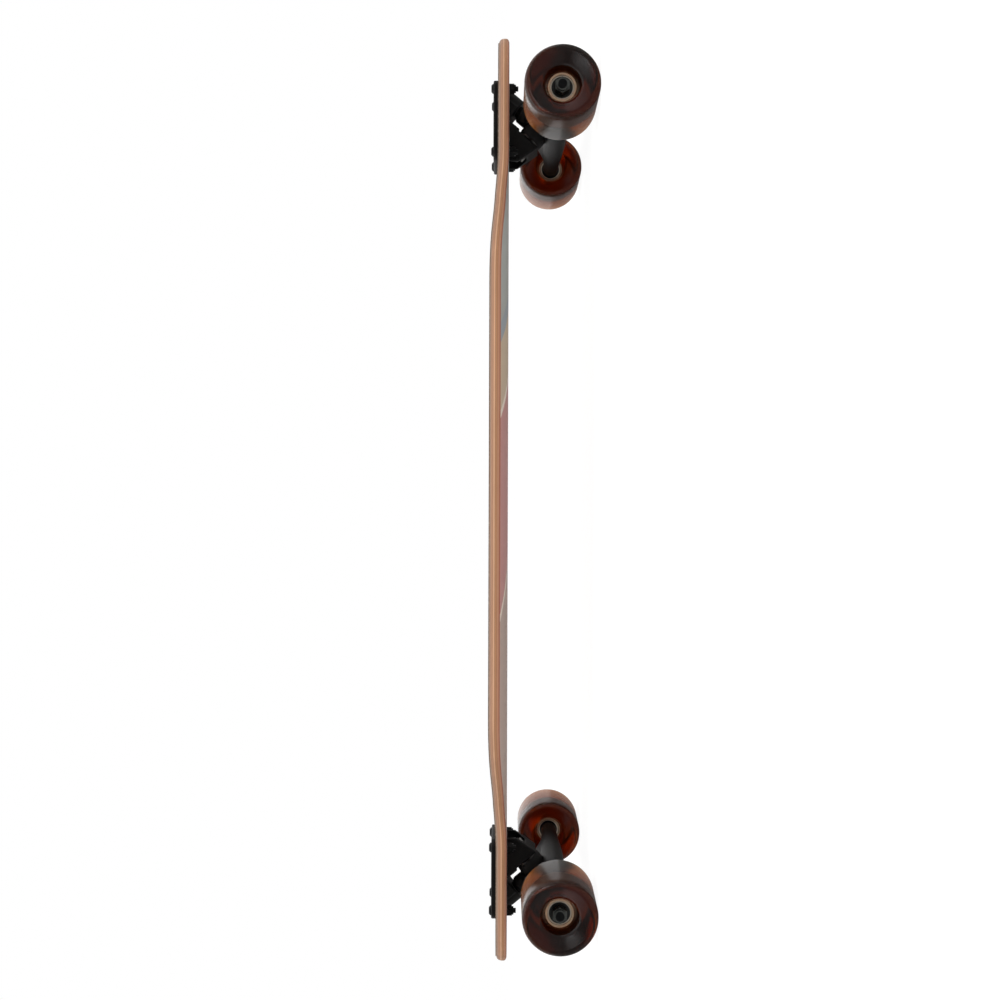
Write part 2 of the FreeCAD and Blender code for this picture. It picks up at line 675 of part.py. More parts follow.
class Deck:
    """The deck's layers, in the board's own frame: one curved surface, thickened layer by layer."""

    UNDERSIDE = "(wheel_diameter / 2 + deck_above_axle)"

    def __init__(self, cutouts, flanges):
        veneer, core = "veneer_thickness", "core_thickness"
        bare = "(2 * veneer_thickness + core_thickness)"
        self.layers = {
            "deck_bottom_veneer": self.make_layer("bottom", "0", veneer, cutouts),
            "deck_core": self.make_layer("core", veneer, core, cutouts),
            "deck_top_veneer": self.make_layer("top", f"{veneer} + {core}", veneer, cutouts),
            "grip_sheet": self.make_layer("grip", bare, "grip_thickness", flanges),
        }

    def outline(self):
        """The deck's plan: round ends, narrow necks beside the wheels and a wide middle."""
        tip, round_start = value_of(DECK_HALF), value_of(f"{DECK_HALF} - end_roundness")
        neck, wide = value_of("neck_width / 2"), value_of("deck_width / 2")
        outer, inner = value_of(NECK_START), value_of(FULL_WIDTH)
        middle = (outer + inner) / 2
        point = FreeCAD.Vector
        flare = Part.BezierCurve()
        flare.setPoles([point(outer, neck), point(middle, neck), point(middle, wide), point(inner, wide)])
        ends = sorted([(tip - round_start, point(tip, 0)), (neck, point(round_start, neck))],
                      key=lambda end: -end[0])
        end_curve = Part.Ellipse(ends[0][1], ends[1][1], point(round_start, 0))
        quarter_box = Part.makePlane(tip, tip, point(round_start, 0))
        quarter = [
            end_curve.toShape().common(quarter_box).Edges[0],
            Part.makeLine(point(round_start, neck), point(outer, neck)),
            flare.toShape(),
            Part.makeLine(point(inner, wide), point(0, wide)),
        ]
        half = quarter + [edge.mirror(point(), point(1, 0, 0)) for edge in quarter]
        whole = half + [edge.mirror(point(), point(0, 1, 0)) for edge in half]
        return Part.Face(Part.Wire(Part.__sortEdges__(whole)))

    def surface(self):
        """The curved part of the deck's surface: a parabola across, which fades out towards both ends."""
        flat, full = value_of(FLAT_START), value_of(FULL_CONCAVE)
        side, rise = value_of("deck_width / 2"), value_of("concave_height")
        knots = [-flat, -full, full, flat]
        stations = [(-flat, 0)]
        for start, end, heights in zip(knots, knots[1:], ((0, 1), (1, 1), (1, 0))):
            step = (end - start) / 3
            stations += [(start + step, heights[0]), (start + 2 * step, heights[1])]
        stations.append((flat, 0))
        poles = [
            [FreeCAD.Vector(x, across * side, bend * height * rise)
             for across, bend in ((-1, 1), (0, -1), (1, 1))]
            for x, height in stations
        ]
        surface = Part.BSplineSurface()
        surface.buildFromPolesMultsKnots(poles, [4, 2, 2, 4], [3, 3], knots, [0, 1], False, False, 3, 2)
        return surface.toShape()

    def make_layer(self, name, low, thickness, tools):
        """One layer of the deck, cut to the outline and opened for the trucks."""
        up = FreeCAD.Vector(0, 0, 1)
        thick, rise = value_of(thickness), value_of("concave_height")
        flat, tip, side = value_of(FLAT_START), value_of(DECK_HALF), value_of("deck_width / 2")
        plan = self.outline()
        room = plan.extrude(up * 2 * (thick + rise)).translated(up * -rise)
        bent = self.surface().extrude(up * thick).common(room)
        corners = [FreeCAD.Vector(start, -side) for start in (-tip, flat)]
        rooms = [Part.makePlane(tip - flat, 2 * side, corner) for corner in corners]
        ends = [plan.common(end).extrude(up * thick) for end in rooms]
        blank = doc.addObject("Part::Feature", f"{name}_blank")
        blank.Shape = bent.fuse(ends).Solids[0]
        put(blank, place(z=f"{self.UNDERSIDE} + {low}"))
        return cut(f"{name}_layer", blank, tools)


def linked(name, template, placement):
    """A copy of a template at a placement."""
    link = doc.addObject("App::Link", name)
    link.LinkedObject = template
    link.LinkTransform = True
    return put(link, placement)


def node(label, copies):
    """One sub-part: the copies of its templates, each with a placement, under one label."""
    group = doc.addObject("Part::Compound", label)
    group.Label = label
    group.Links = [linked(f"{label}_{number}", *copy) for number, copy in enumerate(copies, 1)]
    return group


def truck_nodes(name, truck, hanger, kingpin, base):
    """The nodes of one truck, apart from its wheels."""
    steer = f"{truck} * {base.TO_STEER}"
    pin = f"{steer} * {place(z='kingpin_offset')} * {Hanger.TO_KINGPIN}"
    heads = [f"{truck} * {spot}" for spot in base.bolt_places(f"{DECK_TOP} + flange_thickness")]
    nuts = [f"{truck} * {spot}" for spot in base.bolt_places("deck_above_axle")]
    return [
        node(f"{name}_baseplate", [(base.baseplate, truck)]),
        node(f"{name}_pivot_cup", [(base.pivot_cup, f"{steer} * {place(x='-steer_rake')}")]),
        node(f"{name}_mounting_bolts", [(base.bolt, spot) for spot in heads]),
        node(f"{name}_mounting_nuts", [(base.nut, spot) for spot in nuts]),
        node(f"{name}_hanger", [(hanger.hanger, steer)]),
        node(f"{name}_axle", [(hanger.axle, steer)]),
        node(f"{name}_kingpin", [(kingpin.kingpin, pin)]),
        node(f"{name}_kingpin_nut", [(kingpin.nut, pin)]),
        node(f"{name}_boardside_washer", [(kingpin.boardside_washer, pin)]),
        node(f"{name}_roadside_washer", [(kingpin.roadside_washer, pin)]),
        node(f"{name}_boardside_bushing", [(kingpin.boardside_bushing, pin)]),
        node(f"{name}_roadside_bushing", [(kingpin.roadside_bushing, pin)]),
    ]


def axle_nodes(name, spots, wheel):
    """The nodes that sit on one axle with it: nuts, washers, spacers and inner races."""
    ends = [STACK_END, f"-({STACK_END} + speed_washer_thickness)"]
    outside = place(z=f"{STACK_END} + speed_washer_thickness")
    middles = [BEARING_MIDDLE, f"-{BEARING_MIDDLE}"]
    return [
        node(f"{name}_axle_nuts", [(wheel.axle_nut, f"{spot} * {outside}") for spot in spots]),
        node(f"{name}_speed_washers", [
            (wheel.speed_washer, f"{spot} * {place(z=height)}") for spot in spots for height in ends]),
        node(f"{name}_bearing_spacers", [(wheel.spacer, spot) for spot in spots]),
        node(f"{name}_bearing_inner_races", [
            (wheel.inner_race, f"{spot} * {place(z=height)}") for spot in spots for height in middles]),
    ]


def wheel_nodes(name, spot, wheel):
    """The nodes of one wheel, and of the balls that run inside it."""
    bearings = [f"{spot} * {place(z=height)}" for height in (BEARING_MIDDLE, f"-{BEARING_MIDDLE}")]
    turned_over = place(about="1; 0; 0", angle="180")
    faces = [placement for bearing in bearings for placement in (bearing, f"{bearing} * {turned_over}")]
    return [
        node(f"{name}_tyre", [(wheel.tyre, spot)]),
        node(f"{name}_core", [(wheel.core, spot)]),
        node(f"{name}_bearing_outer_races", [(wheel.outer_race, bearing) for bearing in bearings]),
        node(f"{name}_bearing_shields", [(wheel.shield, face) for face in faces]),
        node(f"{name}_bearing_balls", [(wheel.balls, bearing) for bearing in bearings]),
        node(f"{name}_bearing_cages", [(wheel.cage, bearing) for bearing in bearings]),
    ]


def build():
    """Every node of the board."""
    wheel, hanger, kingpin, base = Wheel(), Hanger(), Kingpin(), Baseplate()
    trucks = {
        "front": place(x="wheelbase / 2", z="wheel_diameter / 2"),
        "rear": place(x="-wheelbase / 2", z="wheel_diameter / 2", angle="180"),
    }
    window = padded("flange_window", "XY_Plane", rectangle(
        "bolt_offset - flange_length / 2 - grip_window_gap",
        "bolt_offset + flange_length / 2 + grip_window_gap",
        "flange_width + 2 * grip_window_gap"), FAR)
    rounded(window, "flange_corner + grip_window_gap", is_upright)
    cutouts = [linked(f"{name}_cutout", base.cutout, truck) for name, truck in trucks.items()]
    windows = [linked(f"{name}_window", window, truck) for name, truck in trucks.items()]
    deck = Deck(cutouts, windows)
    nodes = [node(label, [(layer, place())]) for label, layer in deck.layers.items()]
    for end, truck in trucks.items():
        nodes += truck_nodes(end, truck, hanger, kingpin, base)
        spots = []
        for side, across in (("left", 1), ("right", -1)):
            outward = across if end == "front" else -across
            spot = place(y=f"{outward} * {WHEEL_MIDDLE}", about="1; 0; 0", angle=f"{-90 * outward}")
            spots.append(f"{truck} * {spot}")
            nodes += wheel_nodes(f"{end}_{side}", spots[-1], wheel)
        nodes += axle_nodes(end, spots, wheel)
    return nodes


def check(nodes):
    """Stops if anything in the document failed, or a node's shape isn't sound."""
    doc.recompute()
    failed = [thing.Label for thing in doc.Objects if {"Invalid", "Error"} & set(thing.State)]
    unsound = [part.Label for part in nodes if part.Shape.isNull() or not part.Shape.isValid()]
    if failed or unsound:
        raise SystemExit(f"failed: {failed}, unsound: {unsound}")


def write(nodes):
    """Writes each node to its own file."""
    os.makedirs("parts", exist_ok=True)
    for part in nodes:
        part.Shape.exportStep(f"parts/{part.Label}.step")


sheet = make_sheet()
board = build()
check(board)
write(board)
print(f"{len(board)} nodes, {sum(len(part.Shape.Solids) for part in board)} solids")
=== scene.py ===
"""Looks of the longboard skateboard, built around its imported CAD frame.

Units are metres, in the frame of the CAD part: +X to the nose, +Y to the left side, +Z up, the floor at Z = 0.
"""

import functools
import logging
import math
from collections.abc import Sequence
from dataclasses import dataclass, field
from enum import Enum
from typing import Any, Self

import bmesh
import bpy
from bmesh.types import BMEdge, BMesh, BMVert
from mathutils import Color, Matrix, Vector


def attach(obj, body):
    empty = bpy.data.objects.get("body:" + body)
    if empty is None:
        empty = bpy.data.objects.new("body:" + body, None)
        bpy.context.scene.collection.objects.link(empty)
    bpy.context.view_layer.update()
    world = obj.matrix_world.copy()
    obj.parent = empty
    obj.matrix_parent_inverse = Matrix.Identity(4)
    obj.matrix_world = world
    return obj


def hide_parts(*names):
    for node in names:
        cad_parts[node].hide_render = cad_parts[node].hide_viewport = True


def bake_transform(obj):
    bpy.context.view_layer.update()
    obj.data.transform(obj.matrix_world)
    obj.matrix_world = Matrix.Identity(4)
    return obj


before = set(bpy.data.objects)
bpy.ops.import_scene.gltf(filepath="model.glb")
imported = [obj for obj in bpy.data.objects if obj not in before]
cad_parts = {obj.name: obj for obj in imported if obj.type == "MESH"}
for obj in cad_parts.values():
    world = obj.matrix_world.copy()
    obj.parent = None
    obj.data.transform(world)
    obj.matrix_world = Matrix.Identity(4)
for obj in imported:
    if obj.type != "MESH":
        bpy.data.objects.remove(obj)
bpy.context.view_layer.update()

LOG = logging.getLogger("longboard")

# Points closer than this are one point.
MERGE = 1e-6
# The length of a curve's handle for a quarter of a circle, in radii.
ARC_HANDLE = 0.5523
# A face whose normal rises less than this is part of an upright wall.
UPRIGHT = 0.5

Colour = tuple[float, float, float]
Point = tuple[float, float, float]
Range = tuple[float, float]
Stops = tuple[tuple[float, Colour], ...]
Socket = bpy.types.NodeSocket

WHITE: Colour = (1.0, 1.0, 1.0)


def tone(red: int, green: int, blue: int) -> Colour:
    """A linear colour from display values of 0 to 255."""
    return tuple(Color([value / 255 for value in (red, green, blue)]).from_srgb_to_scene_linear())


def share_of(value: float, start: float, end: float) -> float:
    """How far a value is on the way from a start to an end, kept between 0 and 1."""
    return min(max((value - start) / (end - start), 0.0), 1.0)


class Tree:
    """A node tree that takes each node with its settings, values and links in one call."""

    def __init__(self, tree: bpy.types.NodeTree) -> None:
        """Keeps the tree that gets the nodes."""
        self.tree = tree

    @classmethod
    def of(cls, owner: bpy.types.Material | bpy.types.World) -> Self:
        """Starts an empty tree.

        Args:
            owner: The material or world that it belongs to.

        Returns:
            The tree.
        """
        owner.use_nodes = True
        owner.node_tree.nodes.clear()
        return cls(owner.node_tree)

    def feed(self, node: bpy.types.Node, key: str | int, value: Any) -> None:
        """Sets or links one input.

        Args:
            node: The node.
            key: The input's name or number.
            value: A number, a colour, or the socket to link from.
        """
        if isinstance(value, Socket):
            self.tree.links.new(value, node.inputs[key])
        else:
            held = node.inputs[key].default_value
            wants_alpha = hasattr(held, "__len__") and len(held) == 4 and len(value) == 3
            node.inputs[key].default_value = (*value, 1.0) if wants_alpha else value

    def add(self, kind: str, settings: dict[str, Any] | None = None,
            inputs: dict[str | int, Any] | None = None) -> bpy.types.Node:
        """Adds a node.

        Args:
            kind: The node's type, without its prefix.
            settings: Its properties.
            inputs: Its inputs' values or links, by name or number.

        Returns:
            The node.
        """
        node = self.tree.nodes.new(f"ShaderNode{kind}")
        for name, setting in (settings or {}).items():
            setattr(node, name, setting)
        for key, value in (inputs or {}).items():
            self.feed(node, key, value)
        return node

    def math(self, operation: str, *values: Any) -> Socket:
        """The result of a Math node on these values, in order."""
        return self.add("Math", {"operation": operation}, dict(enumerate(values))).outputs[0]

    def mix(self, factor: Any, low: Any, high: Any) -> Socket:
        """A mix of two colours, the second by the factor."""
        return self.add("Mix", {"data_type": "RGBA"}, {0: factor, 6: low, 7: high}).outputs[2]

    def step(self, value: Socket, turn: Range, levels: Range) -> Socket:
        """A smooth change from one level to another along a value.

        Args:
            value: The value.
            turn: Where the change starts and ends.
            levels: The level before it and the level after it.

        Returns:
            The level's socket.
        """
        node = self.add("MapRange", {"interpolation_type": "SMOOTHSTEP"}, {
            "Value": value, "From Min": turn[0], "From Max": turn[1], "To Min": levels[0], "To Max": levels[1]})
        return node.outputs["Result"]

    def stripes(self, factor: Socket, stops: Stops) -> Socket:
        """Colours that meet at hard edges along a value.

        Args:
            factor: The value, from 0 to 1.
            stops: Where each colour starts.

        Returns:
            The colour's socket.
        """
        node = self.add("ValToRGB", inputs={"Fac": factor})
        band = node.color_ramp
        band.interpolation = "CONSTANT"
        while len(band.elements) < len(stops):
            band.elements.new(0.5)
        for element, (position, colour) in zip(band.elements, stops):
            element.position = position
            element.color = (*colour, 1.0)
        return node.outputs["Color"]

    def split(self, vector: Socket) -> Any:
        """The X, Y and Z outputs of a vector."""
        return self.add("SeparateXYZ", inputs={0: vector}).outputs


class Effect(Enum):
    """The shared effects, each one node group."""

    GRAIN = "wood_grain"
    MOTTLE = "mottle"
    GRIT = "grit"


class Effects:
    """Builds each shared effect once."""

    def __init__(self) -> None:
        """Starts with no group built."""
        self.built: dict[Effect, bpy.types.NodeTree] = {}

    def get(self, effect: Effect) -> bpy.types.NodeTree:
        """The group of an effect.

        Args:
            effect: Which effect.

        Returns:
            Its node group.
        """
        if effect not in self.built:
            makers = {Effect.GRAIN: self.grain, Effect.MOTTLE: self.mottle, Effect.GRIT: self.grit}
            self.built[effect] = makers[effect]()
        return self.built[effect]

    @staticmethod
    def start(effect: Effect, inputs: Sequence[str], outputs: Sequence[str]) -> tuple[Tree, Any, Any]:
        """Starts a group with a vector input, number inputs and number outputs.

        Args:
            effect: Which effect.
            inputs: The number inputs' names.
            outputs: The outputs' names.

        Returns:
            The group's tree, its input node's outputs and its output node.
        """
        group = bpy.data.node_groups.new(effect.value, "ShaderNodeTree")
        group.interface.new_socket("Vector", in_out="INPUT", socket_type="NodeSocketVector")
        for name in inputs:
            group.interface.new_socket(name, in_out="INPUT", socket_type="NodeSocketFloat")
        for name in outputs:
            group.interface.new_socket(name, in_out="OUTPUT", socket_type="NodeSocketFloat")
        source = group.nodes.new("NodeGroupInput").outputs
        return Tree(group), source, group.nodes.new("NodeGroupOutput")

    def grain(self) -> bpy.types.NodeTree:
        """Long streaks of wood along X, broad and fine.

        Returns:
            The node group.
        """
        tree, source, result = self.start(Effect.GRAIN, ("Along", "Across"), ("Streak", "Fibre"))
        scale = tree.add("CombineXYZ", inputs={"X": source["Along"], "Y": source["Across"], "Z": source["Across"]})
        spot = tree.add("VectorMath", {"operation": "MULTIPLY"},
                        {0: source["Vector"], 1: scale.outputs[0]}).outputs[0]
        streak = tree.add("TexNoise", inputs={
            "Vector": spot, "Scale": 1.0, "Detail": 4.0, "Roughness": 0.55, "Distortion": 0.6})
        fibre = tree.add("TexNoise", inputs={"Vector": spot, "Scale": 6.0, "Detail": 3.0, "Roughness": 0.7})
        tree.feed(result, "Streak", streak.outputs["Fac"])
        tree.feed(result, "Fibre", fibre.outputs["Fac"])
        return tree.tree

    def mottle(self) -> bpy.types.NodeTree:
        """A soft, uneven value between two limits.

        Returns:
            The node group.
        """
        tree, source, result = self.start(Effect.MOTTLE, ("Scale", "Low", "High"), ("Value", "Height"))
        noise = tree.add("TexNoise", inputs={
            "Vector": source["Vector"], "Scale": source["Scale"], "Detail": 5.0, "Roughness": 0.6})
        spread = tree.add("MapRange", inputs={
            "Value": noise.outputs["Fac"], "From Min": 0.3, "From Max": 0.7,
            "To Min": source["Low"], "To Max": source["High"]})
        tree.feed(result, "Value", spread.outputs["Result"])
        tree.feed(result, "Height", noise.outputs["Fac"])
        return tree.tree

    def grit(self) -> bpy.types.NodeTree:
        """Grains packed side by side: their height, and which of them glint.

        Returns:
            The node group.
        """
        tree, source, result = self.start(Effect.GRIT, ("Scale", "Share"), ("Height", "Glint"))
        cells = tree.add("TexVoronoi", inputs={"Vector": source["Vector"], "Scale": source["Scale"]})
        height = tree.math("SUBTRACT", 1.0, cells.outputs["Distance"])
        pick = tree.add("SeparateColor", inputs={"Color": cells.outputs["Color"]}).outputs[0]
        tree.feed(result, "Height", height)
        tree.feed(result, "Glint", tree.math("GREATER_THAN", pick, tree.math("SUBTRACT", 1.0, source["Share"])))
        return tree.tree


EFFECTS = Effects()


class Surface(Tree):
    """A material's tree, with its surface shader, its output and the object coordinates."""

    def __init__(self, tree: bpy.types.NodeTree) -> None:
        """Puts the shader and the output in the tree.

        Args:
            tree: The material's empty tree.
        """
        super().__init__(tree)
        self.spot = self.add("TexCoord").outputs["Object"]
        self.shader = self.add("BsdfPrincipled")
        self.output = self.add("OutputMaterial", inputs={"Surface": self.shader.outputs[0]})

    def set(self, key: str, value: Any) -> None:
        """Sets or links one input of the surface shader."""
        self.feed(self.shader, key, value)

    def attribute(self, name: str) -> Socket:
        """The number of this name that the mesh holds at each vertex."""
        return self.add("Attribute", {"attribute_name": name}).outputs["Fac"]

    def effect(self, effect: Effect, **inputs: float) -> Any:
        """The outputs of a shared effect with these values."""
        group = EFFECTS.get(effect)
        return self.add("Group", {"node_tree": group}, {"Vector": self.spot, **inputs}).outputs

    def mottle(self, scale: float, limits: Range) -> Any:
        """The outputs of the soft, uneven effect between two limits."""
        low, high = limits
        return self.effect(Effect.MOTTLE, Scale=scale, Low=low, High=high)

    def relief(self, height: Socket, strength: float, depth: float) -> None:
        """Gives the shader a bump.

        Args:
            height: The bump's height.
            strength: How much of it shows.
            depth: How deep it is, in metres.
        """
        bump = self.add("Bump", inputs={"Strength": strength, "Distance": depth, "Height": height})
        self.set("Normal", bump.outputs["Normal"])


@dataclass(frozen=True)
class Finish:
    """One surface finish, made into a material the first time a piece takes it."""

    name: str

    @functools.cache
    def material(self) -> bpy.types.Material:
        """The finish's material.

        Returns:
            The material, the same one each time.
        """
        made = bpy.data.materials.new(self.name)
        self.dress(Surface.of(made))
        return made

    def dress(self, surface: Surface) -> None:
        """Sets the shader up; each finish has its own way."""
        raise NotImplementedError


@dataclass(frozen=True)
class LaminateFinish(Finish):
    """Lacquered plies at the rim and broad colour bands on the underside."""

    plies: Stops = (
        (0.0, tone(168, 100, 78)), (0.09, tone(190, 139, 110)), (0.255, tone(138, 92, 68)),
        (0.275, tone(178, 130, 94)), (0.445, tone(142, 97, 70)), (0.465, tone(214, 169, 136)),
        (0.62, tone(150, 104, 76)), (0.64, tone(178, 136, 110)), (0.82, tone(144, 106, 84)),
        (0.84, tone(154, 128, 110)),
    )
    bands: Stops = (
        (0.0, tone(184, 158, 148)), (0.2, tone(230, 218, 204)), (0.206, tone(186, 164, 153)),
        (0.44, tone(230, 218, 204)), (0.446, tone(196, 138, 134)), (0.64, tone(230, 218, 204)),
        (0.646, tone(200, 180, 152)), (0.712, tone(148, 160, 170)), (0.732, tone(166, 171, 168)),
        (0.9, tone(230, 218, 204)), (0.906, tone(186, 158, 147)),
    )
    band_reach: float = 0.94
    band_lean: float = 0.55
    paint_share: float = 0.02
    grain_along: float = 9.0
    grain_across: float = 260.0
    streak: Colour = tone(112, 76, 54)
    streak_share: float = 0.42
    fade: Colour = tone(206, 190, 176)
    fade_share: float = 0.2
    gloss_scale: float = 22.0
    roughness: Range = (0.5, 0.62)
    shine: float = 0.3
    lacquer: float = 0.06
    lacquer_roughness: float = 0.3
    bump: float = 0.12
    bump_depth: float = 0.0003

    def dress(self, surface: Surface) -> None:
        """Sets the shader up.

        Args:
            surface: The material's tree.
        """
        ply = surface.attribute("ply")
        grain = surface.effect(Effect.GRAIN, Along=self.grain_along, Across=self.grain_across)
        streaks = surface.math("MULTIPLY", grain["Streak"], self.streak_share)
        wood = surface.mix(streaks, surface.stripes(ply, self.plies), self.streak)
        place = surface.split(surface.spot)
        lean = surface.math("MULTIPLY_ADD", surface.math("ABSOLUTE", place["Y"]), self.band_lean, place["X"])
        reach = surface.math("MULTIPLY_ADD", lean, 1 / self.band_reach, 0.5)
        fading = surface.math("MULTIPLY", grain["Fibre"], self.fade_share)
        paint = surface.mix(fading, surface.stripes(reach, self.bands), self.fade)
        painted = surface.math("LESS_THAN", ply, self.paint_share)
        surface.set("Base Color", surface.mix(painted, wood, paint))
        surface.set("Roughness", surface.mottle(self.gloss_scale, self.roughness)["Value"])
        surface.set("Specular IOR Level", self.shine)
        surface.set("Coat Weight", self.lacquer)
        surface.set("Coat Roughness", self.lacquer_roughness)
        surface.relief(grain["Fibre"], self.bump, self.bump_depth)


@dataclass(frozen=True)
class GritFinish(Finish):
    """Rough grip: pale grains in a clear resin over the wood, a few of which glint."""

    resin: Colour = tone(126, 108, 92)
    grain: Colour = tone(170, 156, 142)
    trodden: Colour = tone(104, 88, 76)
    grains_per_metre: float = 1500.0
    glint_share: float = 0.16
    wear_scale: float = 7.0
    wear: Range = (0.0, 0.35)
    roughness: float = 0.92
    glint_roughness: float = 0.57
    bump: float = 0.7
    bump_depth: float = 0.0005

    def dress(self, surface: Surface) -> None:
        """Sets the shader up.

        Args:
            surface: The material's tree.
        """
        grit = surface.effect(Effect.GRIT, Scale=self.grains_per_metre, Share=self.glint_share)
        base = surface.mix(grit["Glint"], self.resin, self.grain)
        worn = surface.mottle(self.wear_scale, self.wear)["Value"]
        surface.set("Base Color", surface.mix(worn, base, self.trodden))
        change = self.glint_roughness - self.roughness
        surface.set("Roughness", surface.math("MULTIPLY_ADD", grit["Glint"], change, self.roughness))
        surface.relief(grit["Height"], self.bump, self.bump_depth)


@dataclass(frozen=True)
class UrethaneFinish(Finish):
    """Clear tinted urethane: amber where it is thin and nearly black where it is thick, with painted shade on the
    faces.
    """

    tint: Colour = (0.72, 0.56, 0.02)
    density: float = 180.0
    clear: Colour = tone(252, 240, 218)
    swirl: Colour = tone(246, 226, 194)
    # Painted shade: the faces take this darker, redder colour, though the urethane is one colour throughout.
    face: Colour = tone(152, 76, 54)
    pour_scale: float = 38.0
    skin_scale: float = 300.0
    roughness: Range = (0.17, 0.23)
    through: float = 0.99
    ior: float = 1.44
    bump: float = 0.05
    bump_depth: float = 0.0004

    def dress(self, surface: Surface) -> None:
        """Sets the shader up, with painted shade that makes the faces darker and redder than the tread.

        Args:
            surface: The material's tree.
        """
        pour = surface.mottle(self.pour_scale, (0.0, 1.0))
        poured = surface.mix(pour["Value"], self.clear, self.swirl)
        # Painted shade: away from the tread, the faces get the darker face colour.
        surface.set("Base Color", surface.mix(surface.attribute("tread"), self.face, poured))
        surface.set("Roughness", surface.mottle(self.skin_scale, self.roughness)["Value"])
        surface.set("IOR", self.ior)
        surface.set("Transmission Weight", self.through)
        body = surface.add("VolumeAbsorption", inputs={"Color": self.tint, "Density": self.density})
        surface.feed(surface.output, "Volume", body.outputs[0])
        surface.relief(pour["Height"], self.bump, self.bump_depth)


@dataclass(frozen=True)
class SolidFinish(Finish):
    """A finish that isn't clear: patches of a second colour and an uneven skin."""

    colour: Colour
    patch: Colour
    roughness: Range
    patch_scale: float
    patch_share: float = 0.5
    skin_scale: float = 500.0
    bump: float = 0.1
    bump_depth: float = 0.0002

    def dress(self, surface: Surface) -> None:
        """Sets the shader's colour, roughness and bump.

        Args:
            surface: The material's tree.
        """
        patches = surface.mottle(self.patch_scale, (0.0, self.patch_share))["Value"]
        surface.set("Base Color", surface.mix(patches, self.colour, self.patch))
        skin = surface.mottle(self.skin_scale, self.roughness)
        surface.set("Roughness", skin["Value"])
        surface.relief(skin["Height"], self.bump, self.bump_depth)


@dataclass(frozen=True)
class CoatFinish(SolidFinish):
    """Satin powder coat with the faint orange peel of a coated casting."""

    patch_scale: float = 60.0
    skin_scale: float = 700.0
    bump: float = 0.2
    bump_depth: float = 0.0003
    shine: float = 0.22

    def dress(self, surface: Surface) -> None:
        """Adds the coat's weak shine."""
        super().dress(surface)
        surface.set("Specular IOR Level", self.shine)


@dataclass(frozen=True)
class MetalFinish(SolidFinish):
    """Turned or plated metal with an uneven polish."""

    patch_scale: float = 180.0
    patch_share: float = 0.8
    skin_scale: float = 420.0
    bump: float = 0.08

    def dress(self, surface: Surface) -> None:
        """Makes the surface a metal."""
        super().dress(surface)
        surface.set("Metallic", 1.0)


@dataclass(frozen=True)
class MouldedFinish(SolidFinish):
    """Moulded plastic or cast urethane that isn't clear."""

    patch_scale: float = 110.0
    patch_share: float = 0.7
    glow: float = 0.15
    glow_depth: float = 0.003
    shine: float = 0.5

    def dress(self, surface: Surface) -> None:
        """Adds the shine, and the light that soaks into the surface.

        Args:
            surface: The material's tree.
        """
        super().dress(surface)
        surface.set("Specular IOR Level", self.shine)
        surface.set("Subsurface Weight", self.glow)
        surface.set("Subsurface Scale", self.glow_depth)


LAMINATE = LaminateFinish("deck_laminate")
GRIP = GritFinish("deck_grip")
TYRE = UrethaneFinish("tyre_urethane")
COAT = CoatFinish("truck_coat", tone(14, 14, 14), tone(28, 27, 26), (0.42, 0.56))
STEEL = MetalFinish("axle_steel", tone(196, 194, 190), tone(150, 147, 142), (0.18, 0.34))
WASHER = MetalFinish("washer_steel", tone(96, 95, 93), tone(66, 65, 63), (0.24, 0.42))
BEARING = MetalFinish("race_steel", tone(226, 214, 198), tone(188, 174, 156), (0.28, 0.42))
SHIELD = MetalFinish("bearing_shield", tone(66, 67, 66), tone(44, 44, 43), (0.25, 0.4))
BRASS = MetalFinish("ball_cage", tone(170, 142, 88), tone(132, 108, 66), (0.25, 0.4))
OXIDE = MetalFinish("black_oxide", tone(50, 51, 51), tone(28, 28, 29), (0.3, 0.46))
NUT = MetalFinish("nut_steel", tone(122, 124, 120), tone(78, 80, 78), (0.22, 0.4))
HUB = MouldedFinish("hub_core", tone(158, 134, 110), tone(128, 104, 82), (0.3, 0.45))
BUSHING = MouldedFinish("black_bushing", tone(24, 23, 22), tone(16, 15, 15), (0.5, 0.65), glow=0.0, shine=0.3)
CUP = MouldedFinish("black_cup", tone(40, 39, 38), tone(28, 27, 27), (0.4, 0.55), glow=0.0)


